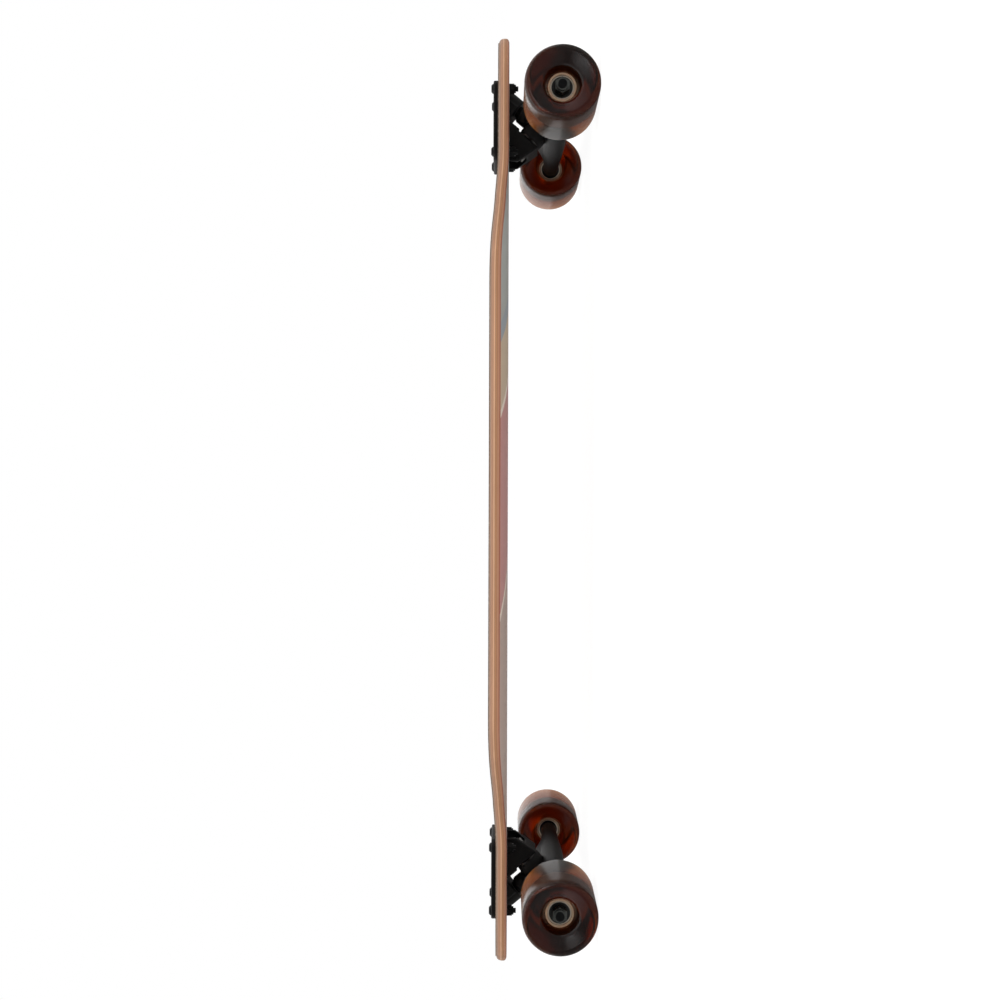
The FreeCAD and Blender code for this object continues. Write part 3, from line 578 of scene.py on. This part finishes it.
class Shape:
    """Common steps for new pieces."""

    SHARP = math.radians(32)

    @staticmethod
    def mesh(bm: BMesh, name: str) -> bpy.types.Mesh:
        """Turns a bmesh into a mesh.

        Args:
            bm: The bmesh, freed afterwards.
            name: The mesh's name.

        Returns:
            The mesh.
        """
        made = bpy.data.meshes.new(name)
        bm.to_mesh(made)
        bm.free()
        return made

    @staticmethod
    def place(name: str, data: bpy.types.ID) -> bpy.types.Object:
        """Puts an object in the scene.

        Args:
            name: The object's name.
            data: Its mesh, lamp or camera.

        Returns:
            The object.
        """
        made = bpy.data.objects.new(name, data)
        bpy.context.scene.collection.objects.link(made)
        return made

    @classmethod
    def piece(cls, bm: BMesh, name: str, finish: Finish, slot: str, *nodes: str) -> bpy.types.Object:
        """Makes a bmesh a piece of the scene.

        Args:
            bm: The bmesh, freed afterwards.
            name: The piece's name.
            finish: Its finish.
            slot: The name of a material slot; not used.
            nodes: The CAD nodes that it stands for.

        Returns:
            The piece.
        """
        mesh = cls.mesh(bm, name)
        mesh.materials.append(finish.material())
        mesh.shade_smooth()
        mesh.set_sharp_from_angle(angle=cls.SHARP)
        made = cls.place(name, mesh)
        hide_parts(*nodes)
        LOG.info("%s: %d faces", name, len(mesh.polygons))
        return made

    @staticmethod
    def panel(bm: BMesh, half: Range, middle: Point) -> list[BMVert]:
        """Adds a flat rectangle.

        Args:
            bm: The bmesh.
            half: Half its length along X and half its width along Y.
            middle: Where its middle is.

        Returns:
            Its corners.
        """
        made = bmesh.ops.create_grid(bm, x_segments=1, y_segments=1, size=1.0)["verts"]
        bmesh.ops.scale(bm, vec=(*half, 1.0), verts=made)
        bmesh.ops.translate(bm, vec=middle, verts=made)
        return made

    @staticmethod
    def round_corners(bm: BMesh, corners: Sequence[BMVert], size: float, steps: int) -> None:
        """Rounds corners of a flat outline.

        Args:
            bm: The bmesh.
            corners: The corners.
            size: How far each is rounded.
            steps: How many edges each rounding has.
        """
        bmesh.ops.bevel(bm, geom=corners, offset=size, offset_type="OFFSET", segments=steps, profile=0.5,
                        affect="VERTICES", material=-1, clamp_overlap=True)

    @staticmethod
    def tidy(bm: BMesh) -> None:
        """Merges doubles, drops loose edges and turns the faces outwards.

        Args:
            bm: The bmesh.
        """
        bmesh.ops.remove_doubles(bm, verts=bm.verts[:], dist=MERGE)
        loose = [edge for edge in bm.edges if not edge.link_faces]
        bmesh.ops.delete(bm, geom=loose, context="EDGES")
        bmesh.ops.recalc_face_normals(bm, faces=bm.faces[:])


@dataclass(frozen=True)
class Corner:
    """A corner of a turned outline: its radius, its place along the axis and how far it is rounded."""

    radius: float
    along: float
    rounding: float = 0.0


class Lathe:
    """Turns closed outlines about an axis."""

    ROUND_STEPS = 6

    @classmethod
    def turn(cls, corners: Sequence[Corner], origin: Vector, axis: Vector, steps: int) -> BMesh:
        """A turned solid.

        Args:
            corners: The closed outline.
            origin: Where the axis has its zero.
            axis: The axis that the outline is turned about.
            steps: How many steps a full turn takes.

        Returns:
            The bmesh, in its place.
        """
        bm = bmesh.new()
        verts = [bm.verts.new((corner.radius, 0.0, corner.along)) for corner in corners]
        bm.faces.new(verts)
        for size in sorted({corner.rounding for corner in corners} - {0.0}):
            chosen = [vert for vert, corner in zip(verts, corners) if corner.rounding == size]
            Shape.round_corners(bm, chosen, size, cls.ROUND_STEPS)
        bmesh.ops.delete(bm, geom=bm.faces[:], context="FACES_ONLY")
        bmesh.ops.spin(bm, geom=bm.verts[:] + bm.edges[:], cent=(0, 0, 0), axis=(0, 0, 1), dvec=(0, 0, 0),
                       angle=math.tau, steps=steps, use_merge=True)
        Shape.tidy(bm)
        spot = Matrix.Translation(origin) @ axis.to_track_quat("Z", "Y").to_matrix().to_4x4()
        bmesh.ops.transform(bm, matrix=spot, verts=bm.verts[:])
        return bm


class Way(Enum):
    """A choice between two opposite ways along an axis."""

    @property
    def label(self) -> str:
        """The choice's name in the frame."""
        return self.name.lower()


class End(Way):
    """The board's two ends, with the way each one points along X."""

    FRONT = 1
    REAR = -1


class Side(Way):
    """The board's two sides, with the way each one points along Y."""

    LEFT = 1
    RIGHT = -1


@dataclass
class Deck:
    """The laminated deck and its grip."""

    tip: float = 0.470
    end_round: float = 0.062
    neck: float = 0.056
    neck_start: float = 0.341
    wide: float = 0.1065
    full_width: float = 0.201
    underside: float = 0.082
    thickness: float = 0.0103
    grip_thickness: float = 0.0008
    grip_inset: float = 0.0040
    concave: float = 0.0076
    full_concave: float = 0.292
    flat_start: float = 0.342
    rim_reach: float = 0.0042
    top_round: float = 0.0052
    bottom_round: float = 0.0030
    rim_steps: int = 5
    axle: float = 0.374
    opening: tuple[float, float, float] = (-0.0295, 0.0440, 0.0135)
    opening_round: float = 0.003
    window: tuple[float, float, float] = (-0.0318, 0.0502, 0.029)
    window_round: float = 0.010
    corner_steps: int = 6
    bolt_middle: float = 0.0092
    bolt_half: Range = (0.03175, 0.02065)
    bolt_hole: float = 0.0027
    grid: float = 0.010
    curve_steps: int = 20
    hole_steps: int = 24

    def outline(self, inset: float) -> BMesh:
        """The plan's outline, from one quarter that is mirrored twice.

        Args:
            inset: How far inside the deck's own outline it runs.

        Returns:
            A bmesh of edges, at Z = 0.
        """
        tip, neck, wide = self.tip - inset, self.neck - inset, self.wide - inset
        start = self.tip - self.end_round
        middle = (self.neck_start + self.full_width) / 2
        third = (start - self.neck_start) / 3
        # Each point with the handle before it and the handle after it.
        points = [
            ((tip, 0), (tip, -ARC_HANDLE * neck), (tip, ARC_HANDLE * neck)),
            ((start, neck), (start + ARC_HANDLE * (tip - start), neck), (start - third, neck)),
            ((self.neck_start, neck), (self.neck_start + third, neck), (middle, neck)),
            ((self.full_width, wide), (middle, wide), (self.full_width * 2 / 3, wide)),
            ((0, wide), (self.full_width / 3, wide), (-self.full_width / 3, wide)),
        ]
        curve = bpy.data.curves.new("deck_outline", "CURVE")
        spline = curve.splines.new("BEZIER")
        spline.bezier_points.add(len(points) - 1)
        spline.resolution_u = self.curve_steps
        for place, (spot, before, after) in zip(spline.bezier_points, points):
            place.co, place.handle_left, place.handle_right = (*spot, 0), (*before, 0), (*after, 0)
        holder = bpy.data.objects.new("deck_outline", curve)
        mesh = bpy.data.meshes.new_from_object(holder)
        bm = bmesh.new()
        bm.from_mesh(mesh)
        bpy.data.objects.remove(holder)
        bpy.data.curves.remove(curve)
        bpy.data.meshes.remove(mesh)
        for axis in "XY":
            bmesh.ops.mirror(bm, geom=bm.verts[:] + bm.edges[:], matrix=Matrix.Identity(4),
                             merge_dist=MERGE, axis=axis)
        bmesh.ops.remove_doubles(bm, verts=bm.verts[:], dist=MERGE)
        return bm

    def rectangle(self, bm: BMesh, end: End, reach: tuple[float, float, float], corner: float) -> None:
        """Adds the edges of a rounded opening at one truck.

        Args:
            bm: The bmesh.
            end: Which truck.
            reach: Its inboard and outboard ends, from the axle, and half its width.
            corner: Its corners' rounding.
        """
        low, high, half = reach
        middle = (end.value * (self.axle + (low + high) / 2), 0, 0)
        corners = Shape.panel(bm, ((high - low) / 2, half), middle)
        Shape.round_corners(bm, corners, corner, self.corner_steps)
        bmesh.ops.delete(bm, geom=bm.faces[:], context="FACES_ONLY")

    def bolt_holes(self, bm: BMesh, end: End) -> None:
        """Adds the edges of the four bolt holes at one truck.

        Args:
            bm: The bmesh.
            end: Which truck.
        """
        out, across = self.bolt_half
        for along in (-out, out):
            for aside in (-across, across):
                spot = Matrix.Translation((end.value * (self.axle + self.bolt_middle + along), aside, 0))
                bmesh.ops.create_circle(bm, cap_ends=False, radius=self.bolt_hole, segments=self.hole_steps,
                                        matrix=spot)

    def height(self, x: float, y: float) -> float:
        """How far the concave lifts a point of the deck.

        Args:
            x: Its place along the deck.
            y: Its place across the deck.

        Returns:
            The lift.
        """
        share = share_of(abs(x), self.flat_start, self.full_concave)
        return self.concave * (y / self.wide) ** 2 * share * share * (3 - 2 * share)

    def plate(self, bm: BMesh, thickness: float) -> None:
        """Fills the outline between its openings and gives it its thickness.

        Args:
            bm: The bmesh of edges.
            thickness: The plate's thickness.
        """
        bmesh.ops.triangle_fill(bm, edges=bm.edges[:], use_beauty=True, normal=(0, 0, 1))
        raised = bmesh.ops.extrude_face_region(bm, geom=bm.faces[:])["geom"]
        lifted = [part for part in raised if isinstance(part, BMVert)]
        bmesh.ops.translate(bm, vec=(0, 0, thickness), verts=lifted)

    def dice(self, bm: BMesh) -> None:
        """Cuts a flat layer into a grid, so that it can follow the deck's curve.

        Args:
            bm: The bmesh.
        """
        for normal, reach in ((Vector((1, 0, 0)), self.tip), (Vector((0, 1, 0)), self.wide)):
            count = int(reach / self.grid)
            for step in range(-count, count + 1):
                bmesh.ops.bisect_plane(bm, geom=bm.verts[:] + bm.edges[:] + bm.faces[:], dist=MERGE,
                                       plane_co=normal * step * self.grid, plane_no=normal)
        Shape.tidy(bm)

    def at_truck(self, spot: Vector) -> bool:
        """Whether a point is at a truck's opening, not at the rim."""
        low, high, half = self.window
        return low < abs(spot.x) - self.axle < high and abs(spot.y) < half

    def ring(self, bm: BMesh, inset: float, level: float) -> list[BMEdge]:
        """Adds one outline to the rim.

        Args:
            bm: The bmesh.
            inset: How far inside the deck's own outline it runs.
            level: Its height.

        Returns:
            Its edges.
        """
        loop = self.outline(inset)
        bmesh.ops.translate(loop, vec=(0, 0, level), verts=loop.verts[:])
        mesh = Shape.mesh(loop, "rim_outline")
        before = set(bm.edges)
        bm.from_mesh(mesh)
        bpy.data.meshes.remove(mesh)
        return [edge for edge in bm.edges if edge not in before]

    def round_rim(self, bm: BMesh) -> None:
        """Puts a rounded rim round a plate, in place of its upright outer wall.

        Args:
            bm: The plate.
        """
        bm.normal_update()
        wall = [
            face for face in bm.faces
            if abs(face.normal.z) < UPRIGHT and not self.at_truck(face.calc_center_median())
        ]
        bmesh.ops.delete(bm, geom=wall, context="FACES")
        loops = [
            [edge for edge in bm.edges if edge.is_boundary and abs(edge.verts[0].co.z - level) < MERGE]
            for level in (0.0, self.thickness)
        ]
        turns = [math.radians(90) * step / self.rim_steps for step in range(1, self.rim_steps + 1)]
        lower = [(turn, self.bottom_round * (1 - math.cos(turn))) for turn in turns]
        upper = [(turn, self.thickness - self.top_round * (1 - math.cos(turn))) for turn in reversed(turns)]
        middle = [self.ring(bm, self.rim_reach * (1 - math.sin(turn)), level) for turn, level in lower + upper]
        rings = [loops[0], *middle, loops[1]]
        for low, high in zip(rings, rings[1:]):
            bmesh.ops.bridge_loops(bm, edges=low + high)

    def bend(self, bm: BMesh, low: float, thickness: float) -> None:
        """Stores each point's place between the layer's faces, then lifts it to the deck's curve.

        Args:
            bm: The flat layer.
            low: The height of the layer's lower face above the deck's underside.
            thickness: The layer's thickness.
        """
        layer = bm.verts.layers.float.new("ply")
        for vert in bm.verts:
            vert[layer] = vert.co.z / thickness
            vert.co.z += self.underside + low + self.height(vert.co.x, vert.co.y)

    def build_laminate(self) -> bpy.types.Object:
        """The plies, glued and shaped, with an opening and four holes for each truck.

        Returns:
            The piece.
        """
        bm = self.outline(self.rim_reach)
        for end in End:
            self.rectangle(bm, end, self.opening, self.opening_round)
            self.bolt_holes(bm, end)
        self.plate(bm, self.thickness)
        self.round_rim(bm)
        self.dice(bm)
        self.bend(bm, 0.0, self.thickness)
        made = Shape.piece(bm, "laminate", LAMINATE, "deck_plies",
                           "deck_bottom_veneer", "deck_core", "deck_top_veneer")
        even = made.modifiers.new("even_faces", "WEIGHTED_NORMAL")
        even.keep_sharp = True
        return made

    def build_grip(self) -> bpy.types.Object:
        """The rough layer on the deck, with a window round each baseplate.

        Returns:
            The piece.
        """
        bm = self.outline(self.grip_inset)
        for end in End:
            self.rectangle(bm, end, self.window, self.window_round)
        self.plate(bm, self.grip_thickness)
        self.dice(bm)
        self.bend(bm, self.thickness, self.grip_thickness)
        return Shape.piece(bm, "grip", GRIP, "grip", "grip_sheet")

    def build(self) -> None:
        """Builds the deck's pieces and puts them on its body."""
        for made in (self.build_laminate(), self.build_grip()):
            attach(made, "deck")


@dataclass
class Wheel:
    """One wheel's tyre and core; its bearings stay as the CAD has them."""

    end: End
    side: Side
    axle: Point = (0.374, 0.1015, 0.0345)
    tread: float = 0.0345
    half_width: float = 0.0255
    shoulder: float = 0.0052
    lip: float = 0.0285
    lip_round: float = 0.0012
    dish: float = 0.0175
    dish_depth: float = 0.0045
    dish_round: float = 0.0022
    rim: float = 0.0132
    rib: float = 0.017
    seat: float = 0.011
    bore: float = 0.0092
    half_core: float = 0.013
    half_rib: float = 0.0085
    half_spacer: float = 0.005
    core_round: float = 0.0005
    overlap: float = 0.0002
    steps: int = 128

    @property
    def label(self) -> str:
        """The wheel's name in the frame."""
        return f"{self.end.label}_{self.side.label}"

    def turned(self, half: Sequence[Corner]) -> BMesh:
        """A turned solid that is alike on both faces.

        Args:
            half: The outline's outboard half, from the bore to the outside or back.

        Returns:
            The bmesh, in its place.
        """
        other = [Corner(corner.radius, -corner.along, corner.rounding) for corner in reversed(half)]
        x, y, z = self.axle
        origin = Vector((self.end.value * x, self.side.value * y, z))
        return Lathe.turn([*half, *other], origin, Vector((0, self.side.value, 0)), self.steps)

    def build_tyre(self) -> bpy.types.Object:
        """The poured tyre, a little into the core so that no gap shows through it.

        Each of its points holds how near it is to the tread, for the painted shade that the finish puts on the
        faces.

        Returns:
            The piece.
        """
        rim, rib = self.rim - self.overlap, self.rib - self.overlap
        half_core, half_rib = self.half_core - self.overlap, self.half_rib - self.overlap
        bm = self.turned([
            Corner(rib, half_rib), Corner(rim, half_rib), Corner(rim, half_core),
            Corner(self.dish, self.half_width - self.dish_depth, self.dish_round),
            Corner(self.lip, self.half_width, self.lip_round),
            Corner(self.tread, self.half_width, self.shoulder),
        ])
        x, _, z = self.axle
        layer = bm.verts.layers.float.new("tread")
        for vert in bm.verts:
            radius = math.hypot(vert.co.x - self.end.value * x, vert.co.z - z)
            vert[layer] = share_of(radius, self.lip, self.tread)
        return Shape.piece(bm, f"{self.label}_poured_tyre", TYRE, "wheel_urethane", f"{self.label}_tyre")

    def build_core(self) -> bpy.types.Object:
        """The moulded core with its two bearing seats.

        Returns:
            The piece.
        """
        soft = self.core_round
        bm = self.turned([
            Corner(self.bore, self.half_spacer, soft), Corner(self.seat, self.half_spacer),
            Corner(self.seat, self.half_core, soft), Corner(self.rim, self.half_core, soft),
            Corner(self.rim, self.half_rib), Corner(self.rib, self.half_rib, soft),
        ])
        return Shape.piece(bm, f"{self.label}_moulded_core", HUB, "wheel_core", f"{self.label}_core")

    def build(self) -> None:
        """Builds the wheel's pieces and puts them on its body."""
        for made in (self.build_tyre(), self.build_core()):
            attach(made, f"{self.label}_wheel")


@dataclass
class Truck:
    """One truck's castings and soft pieces; its steel pieces stay as the CAD has them."""

    end: End
    axle: Range = (0.374, 0.0345)
    steer_angle: float = math.radians(50)
    rake: float = 0.004
    kingpin_reach: float = 0.018
    pin: float = 0.00477
    pin_play: float = 0.0024
    bushing: float = 0.0128
    bushing_tip: float = 0.010
    bushing_bevel: float = 0.0012
    bulge: float = 0.0004
    bulge_round: float = 0.002
    boardside: Range = (-0.0205, -0.0085)
    roadside: Range = (0.0140, 0.0035)
    seat_depth: float = 0.0015
    cup: Range = (0.00625, 0.00865)
    cup_reach: tuple[float, float, float] = (0.046, 0.05625, 0.05825)
    cup_round: float = 0.0006
    cup_edge_round: float = 0.0004
    cup_floor_round: float = 0.002
    voxel: float = 0.0007
    softness: float = 0.5
    smoothing: int = 5
    steps: int = 72

    @property
    def reach_way(self) -> Vector:
        """The way that the steering axis points, up and outboard."""
        return Vector((self.end.value * math.cos(self.steer_angle), 0, math.sin(self.steer_angle)))

    @property
    def road_way(self) -> Vector:
        """The way that the kingpin points, towards the road."""
        return Vector((self.end.value * math.sin(self.steer_angle), 0, -math.cos(self.steer_angle)))

    @property
    def centre(self) -> Vector:
        """The middle of the axle."""
        return Vector((self.end.value * self.axle[0], 0, self.axle[1]))

    def build_bushing(self, name: str, washer: float, seat: float, tip: float) -> bpy.types.Object:
        """A bushing that stands on its washer along the kingpin.

        Args:
            name: The bushing's name in the frame.
            washer: Where its washer end is along the kingpin.
            seat: Where its hanger end is along the kingpin.
            tip: Its radius at the washer.

        Returns:
            The piece.
        """
        way = math.copysign(1.0, seat - washer)
        bevel = self.bushing_bevel
        soft = bevel / 3
        waist = (washer + seat) / 2
        base = self.centre + self.reach_way * self.kingpin_reach
        bm = Lathe.turn([
            Corner(self.pin, washer), Corner(tip - bevel / 2, washer, soft),
            Corner(tip, washer + way * bevel, soft),
            Corner((tip + self.bushing) / 2 + self.bulge, waist, self.bulge_round),
            Corner(self.bushing, seat - way * (self.seat_depth + bevel), soft),
            Corner(self.bushing, seat - way * bevel, soft), Corner(self.bushing - bevel, seat, soft),
            Corner(self.pin + self.pin_play, seat), Corner(self.pin, waist),
        ], base, self.road_way, self.steps)
        node = f"{self.end.label}_{name}"
        made = Shape.piece(bm, f"{node}_cast", BUSHING, "bushing_urethane", node)
        f"{self.end.label}_hanger"
        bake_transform(made)
        return made

    def build_cup(self) -> bpy.types.Object:
        """The pivot cup in the baseplate.

        Returns:
            The piece.
        """
        inside, outside = self.cup
        mouth, floor, back = self.cup_reach
        bm = Lathe.turn([
            Corner(inside, mouth, self.cup_round), Corner(outside, mouth, self.cup_edge_round),
            Corner(outside, back, self.cup_round), Corner(0.0, back), Corner(0.0, floor),
            Corner(inside, floor, self.cup_floor_round),
        ], self.centre - self.road_way * self.rake, self.reach_way, self.steps)
        node = f"{self.end.label}_pivot_cup"
        made = Shape.piece(bm, f"{node}_moulded", CUP, "cup_urethane", node)
        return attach(made, "deck")

    def build_casting(self, name: str, body: str) -> bpy.types.Object:
        """A casting with the soft edges and fillets of a cast piece, from a copy of the CAD's solid.

        Args:
            name: The casting's name in the frame.
            body: The body that it moves with.

        Returns:
            The piece.
        """
        node = f"{self.end.label}_{name}"
        bm = bmesh.new()
        bm.from_mesh(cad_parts[node].data)
        bmesh.ops.remove_doubles(bm, verts=bm.verts[:], dist=MERGE)
        solid = Shape.mesh(bm, f"{node}_blank")
        blank = Shape.place(f"{node}_blank", solid)
        skin = blank.modifiers.new("skin", "REMESH")
        skin.mode, skin.voxel_size = "VOXEL", self.voxel
        soft = blank.modifiers.new("soft", "SMOOTH")
        soft.factor, soft.iterations = self.softness, self.smoothing
        graph = bpy.context.evaluated_depsgraph_get()
        cast = bpy.data.meshes.new_from_object(blank.evaluated_get(graph))
        shaped = bmesh.new()
        shaped.from_mesh(cast)
        bpy.data.objects.remove(blank)
        for used in (solid, cast):
            bpy.data.meshes.remove(used)
        made = Shape.piece(shaped, f"{node}_cast", COAT, "truck_casting", node)
        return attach(made, body)

    def build(self) -> None:
        """Builds the truck's pieces, and puts the castings and the cup on their bodies."""
        self.build_casting("baseplate", "deck")
        self.build_casting("hanger", f"{self.end.label}_hanger")
        self.build_bushing("boardside_bushing", *self.boardside, self.bushing)
        self.build_bushing("roadside_bushing", *self.roadside, self.bushing_tip)
        self.build_cup()


@dataclass(frozen=True)
class Hardware:
    """The finishes of the CAD nodes that stay, by the end of their names."""

    finishes: dict[str, Finish] = field(default_factory=lambda: {
        "mounting_bolts": OXIDE, "mounting_nuts": OXIDE, "axle_nuts": NUT, "kingpin": STEEL,
        "kingpin_nut": OXIDE, "boardside_washer": WASHER, "roadside_washer": WASHER, "axle": OXIDE,
        "speed_washers": WASHER, "bearing_spacers": STEEL, "bearing_inner_races": BEARING,
        "bearing_outer_races": BEARING, "bearing_shields": SHIELD, "bearing_balls": BEARING,
        "bearing_cages": BRASS,
    })

    def dress(self) -> None:
        """Gives each node that stays its finish."""
        kinds = sorted(self.finishes, key=len, reverse=True)
        for name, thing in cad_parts.items():
            kind = next((kind for kind in kinds if name.endswith(kind)), None)
            if kind is None:
                continue
            for slot in thing.material_slots:
                slot.material = self.finishes[kind].material()
            LOG.info("%s: %s", name, self.finishes[kind].name)


@dataclass(frozen=True)
class Lamp:
    """A soft lamp that faces a point, and that a gloss shows or not."""

    name: str
    spot: Point
    target: Point
    size: Range
    watts: float
    glints: bool = False

    def place(self) -> None:
        """Puts the lamp in the scene."""
        data = bpy.data.lights.new(self.name, "AREA")
        data.shape = "RECTANGLE"
        data.size, data.size_y = self.size
        data.energy = self.watts
        lamp = Shape.place(self.name, data)
        lamp.location = self.spot
        lamp.rotation_euler = (Vector(self.target) - Vector(self.spot)).to_track_quat("-Z", "Y").to_euler()
        lamp.visible_glossy = self.glints


@dataclass(frozen=True)
class Studio:
    """The camera, the lamps, the white surroundings and the floor."""

    camera_spot: Point = (0.0029, -0.921, 0.0863)
    camera_roll: float = math.radians(0.18)
    lens: float = 32.08
    sensor: float = 36.0
    shift: Range = (-0.0037, -0.0032)
    ambient: float = 0.5
    room_gloss: Range = (0.16, 0.95)
    room_turn: Range = (-0.85, -0.15)
    floor_gloss: Range = (0.2, 1.0)
    floor_turn: Range = (0.15, 0.8)
    floor_half: Range = (14.0, 7.6)
    floor_middle: Point = (0.0, 6.4, 0.0)
    floor_white: float = 1.14
    floor_colour: Colour = tone(236, 235, 233)
    shadow: float = 0.19
    lamps: tuple[Lamp, ...] = (
        Lamp("overhead", (0.0, -0.3, 1.9), (0.0, 0.0, 0.08), (2.2, 1.4), 26.0),
        Lamp("front_fill", (0.5, -2.2, 0.9), (0.0, 0.0, 0.08), (1.2, 0.8), 16.0),
        Lamp("back_rim", (-0.6, 2.0, 1.1), (0.0, 0.0, 0.06), (1.6, 0.9), 14.0),
        Lamp("back_strip", (0.0, 2.0, 1.1), (0.0, 0.0, 0.06), (2.4, 0.3), 2.4, glints=True),
    )

    def place_camera(self) -> None:
        """Puts the camera at the photograph's place: the nose is up and the deck's top faces left."""
        data = bpy.data.cameras.new("camera")
        data.lens, data.sensor_width = self.lens, self.sensor
        data.shift_x, data.shift_y = self.shift
        camera = Shape.place("camera", data)
        turn = Matrix(((0, 1, 0), (0, 0, -1), (-1, 0, 0))).to_4x4()
        roll = Matrix.Rotation(self.camera_roll, 4, "Z")
        camera.matrix_world = Matrix.Translation(self.camera_spot) @ turn @ roll
        bpy.context.scene.camera = camera

    @staticmethod
    def seen(tree: Tree) -> tuple[Socket, Socket]:
        """Whether a ray shows the surroundings: to the camera, in a gloss or through glass.

        Args:
            tree: The tree that asks.

        Returns:
            A socket that is 1 for such a ray, and one that is 1 only in a gloss.
        """
        path = tree.add("LightPath").outputs
        direct = tree.math("MAXIMUM", path["Is Camera Ray"], path["Is Glossy Ray"])
        shown = tree.math("MAXIMUM", direct, path["Is Transmission Ray"])
        return shown, tree.math("GREATER_THAN", path["Is Glossy Ray"], path["Is Transmission Ray"])

    def make_world(self) -> None:
        """White surroundings that light the object at a plain level, darker in a gloss at the front."""
        world = bpy.data.worlds.new("surroundings")
        tree = Tree.of(world)
        shown, glossy = self.seen(tree)
        way = tree.split(tree.add("TexCoord").outputs["Generated"])["Y"]
        room = tree.step(way, self.room_turn, self.room_gloss)
        light, white, gloss = (
            tree.add("Background", inputs={"Color": WHITE, "Strength": strength}).outputs[0]
            for strength in (self.ambient, 1.0, room)
        )
        plain = tree.add("MixShader", inputs={0: shown, 1: light, 2: white})
        mixed = tree.add("MixShader", inputs={0: glossy, 1: plain.outputs[0], 2: gloss})
        tree.add("OutputWorld", inputs={"Surface": mixed.outputs[0]})
        bpy.context.scene.world = world

    def floor_material(self) -> bpy.types.Material:
        """The floor's white, which keeps a share of the shadows and is darker in a gloss at the front.

        Returns:
            The material.
        """
        made = bpy.data.materials.new("floor")
        tree = Tree.of(made)
        matt = tree.add("BsdfDiffuse", inputs={"Color": self.floor_colour})
        shown, glossy = self.seen(tree)
        along = tree.split(tree.add("TexCoord").outputs["Object"])["Y"]
        gloss = tree.step(along, self.floor_turn, self.floor_gloss)
        level = tree.add("Mix", inputs={0: glossy, 2: self.floor_white, 3: gloss}).outputs[0]
        white = tree.add("Emission", inputs={"Color": WHITE, "Strength": level})
        share = tree.math("MULTIPLY", shown, 1.0 - self.shadow)
        mixed = tree.add("MixShader", inputs={0: share, 1: matt.outputs[0], 2: white.outputs[0]})
        tree.add("OutputMaterial", inputs={"Surface": mixed.outputs[0]})
        return made

    def make_floor(self) -> None:
        """A plain pale floor that shows as white and keeps a faint shadow."""
        bm = bmesh.new()
        Shape.panel(bm, self.floor_half, self.floor_middle)
        mesh = Shape.mesh(bm, "floor")
        mesh.materials.append(self.floor_material())
        floor = Shape.place("floor", mesh)

    def build(self) -> None:
        """Sets the studio up."""
        bpy.context.scene.view_settings.view_transform = "Standard"
        self.place_camera()
        self.make_world()
        self.make_floor()
        for lamp in self.lamps:
            lamp.place()


def main() -> None:
    """Builds the studio, the deck, the trucks and the wheels in turn."""
    logging.basicConfig(level=logging.INFO, format="%(name)s: %(message)s")
    Studio().build()
    Deck().build()
    for end in End:
        Truck(end).build()
        for side in Side:
            Wheel(end, side).build()
    Hardware().dress()


if __name__ == "__main__":
    main()
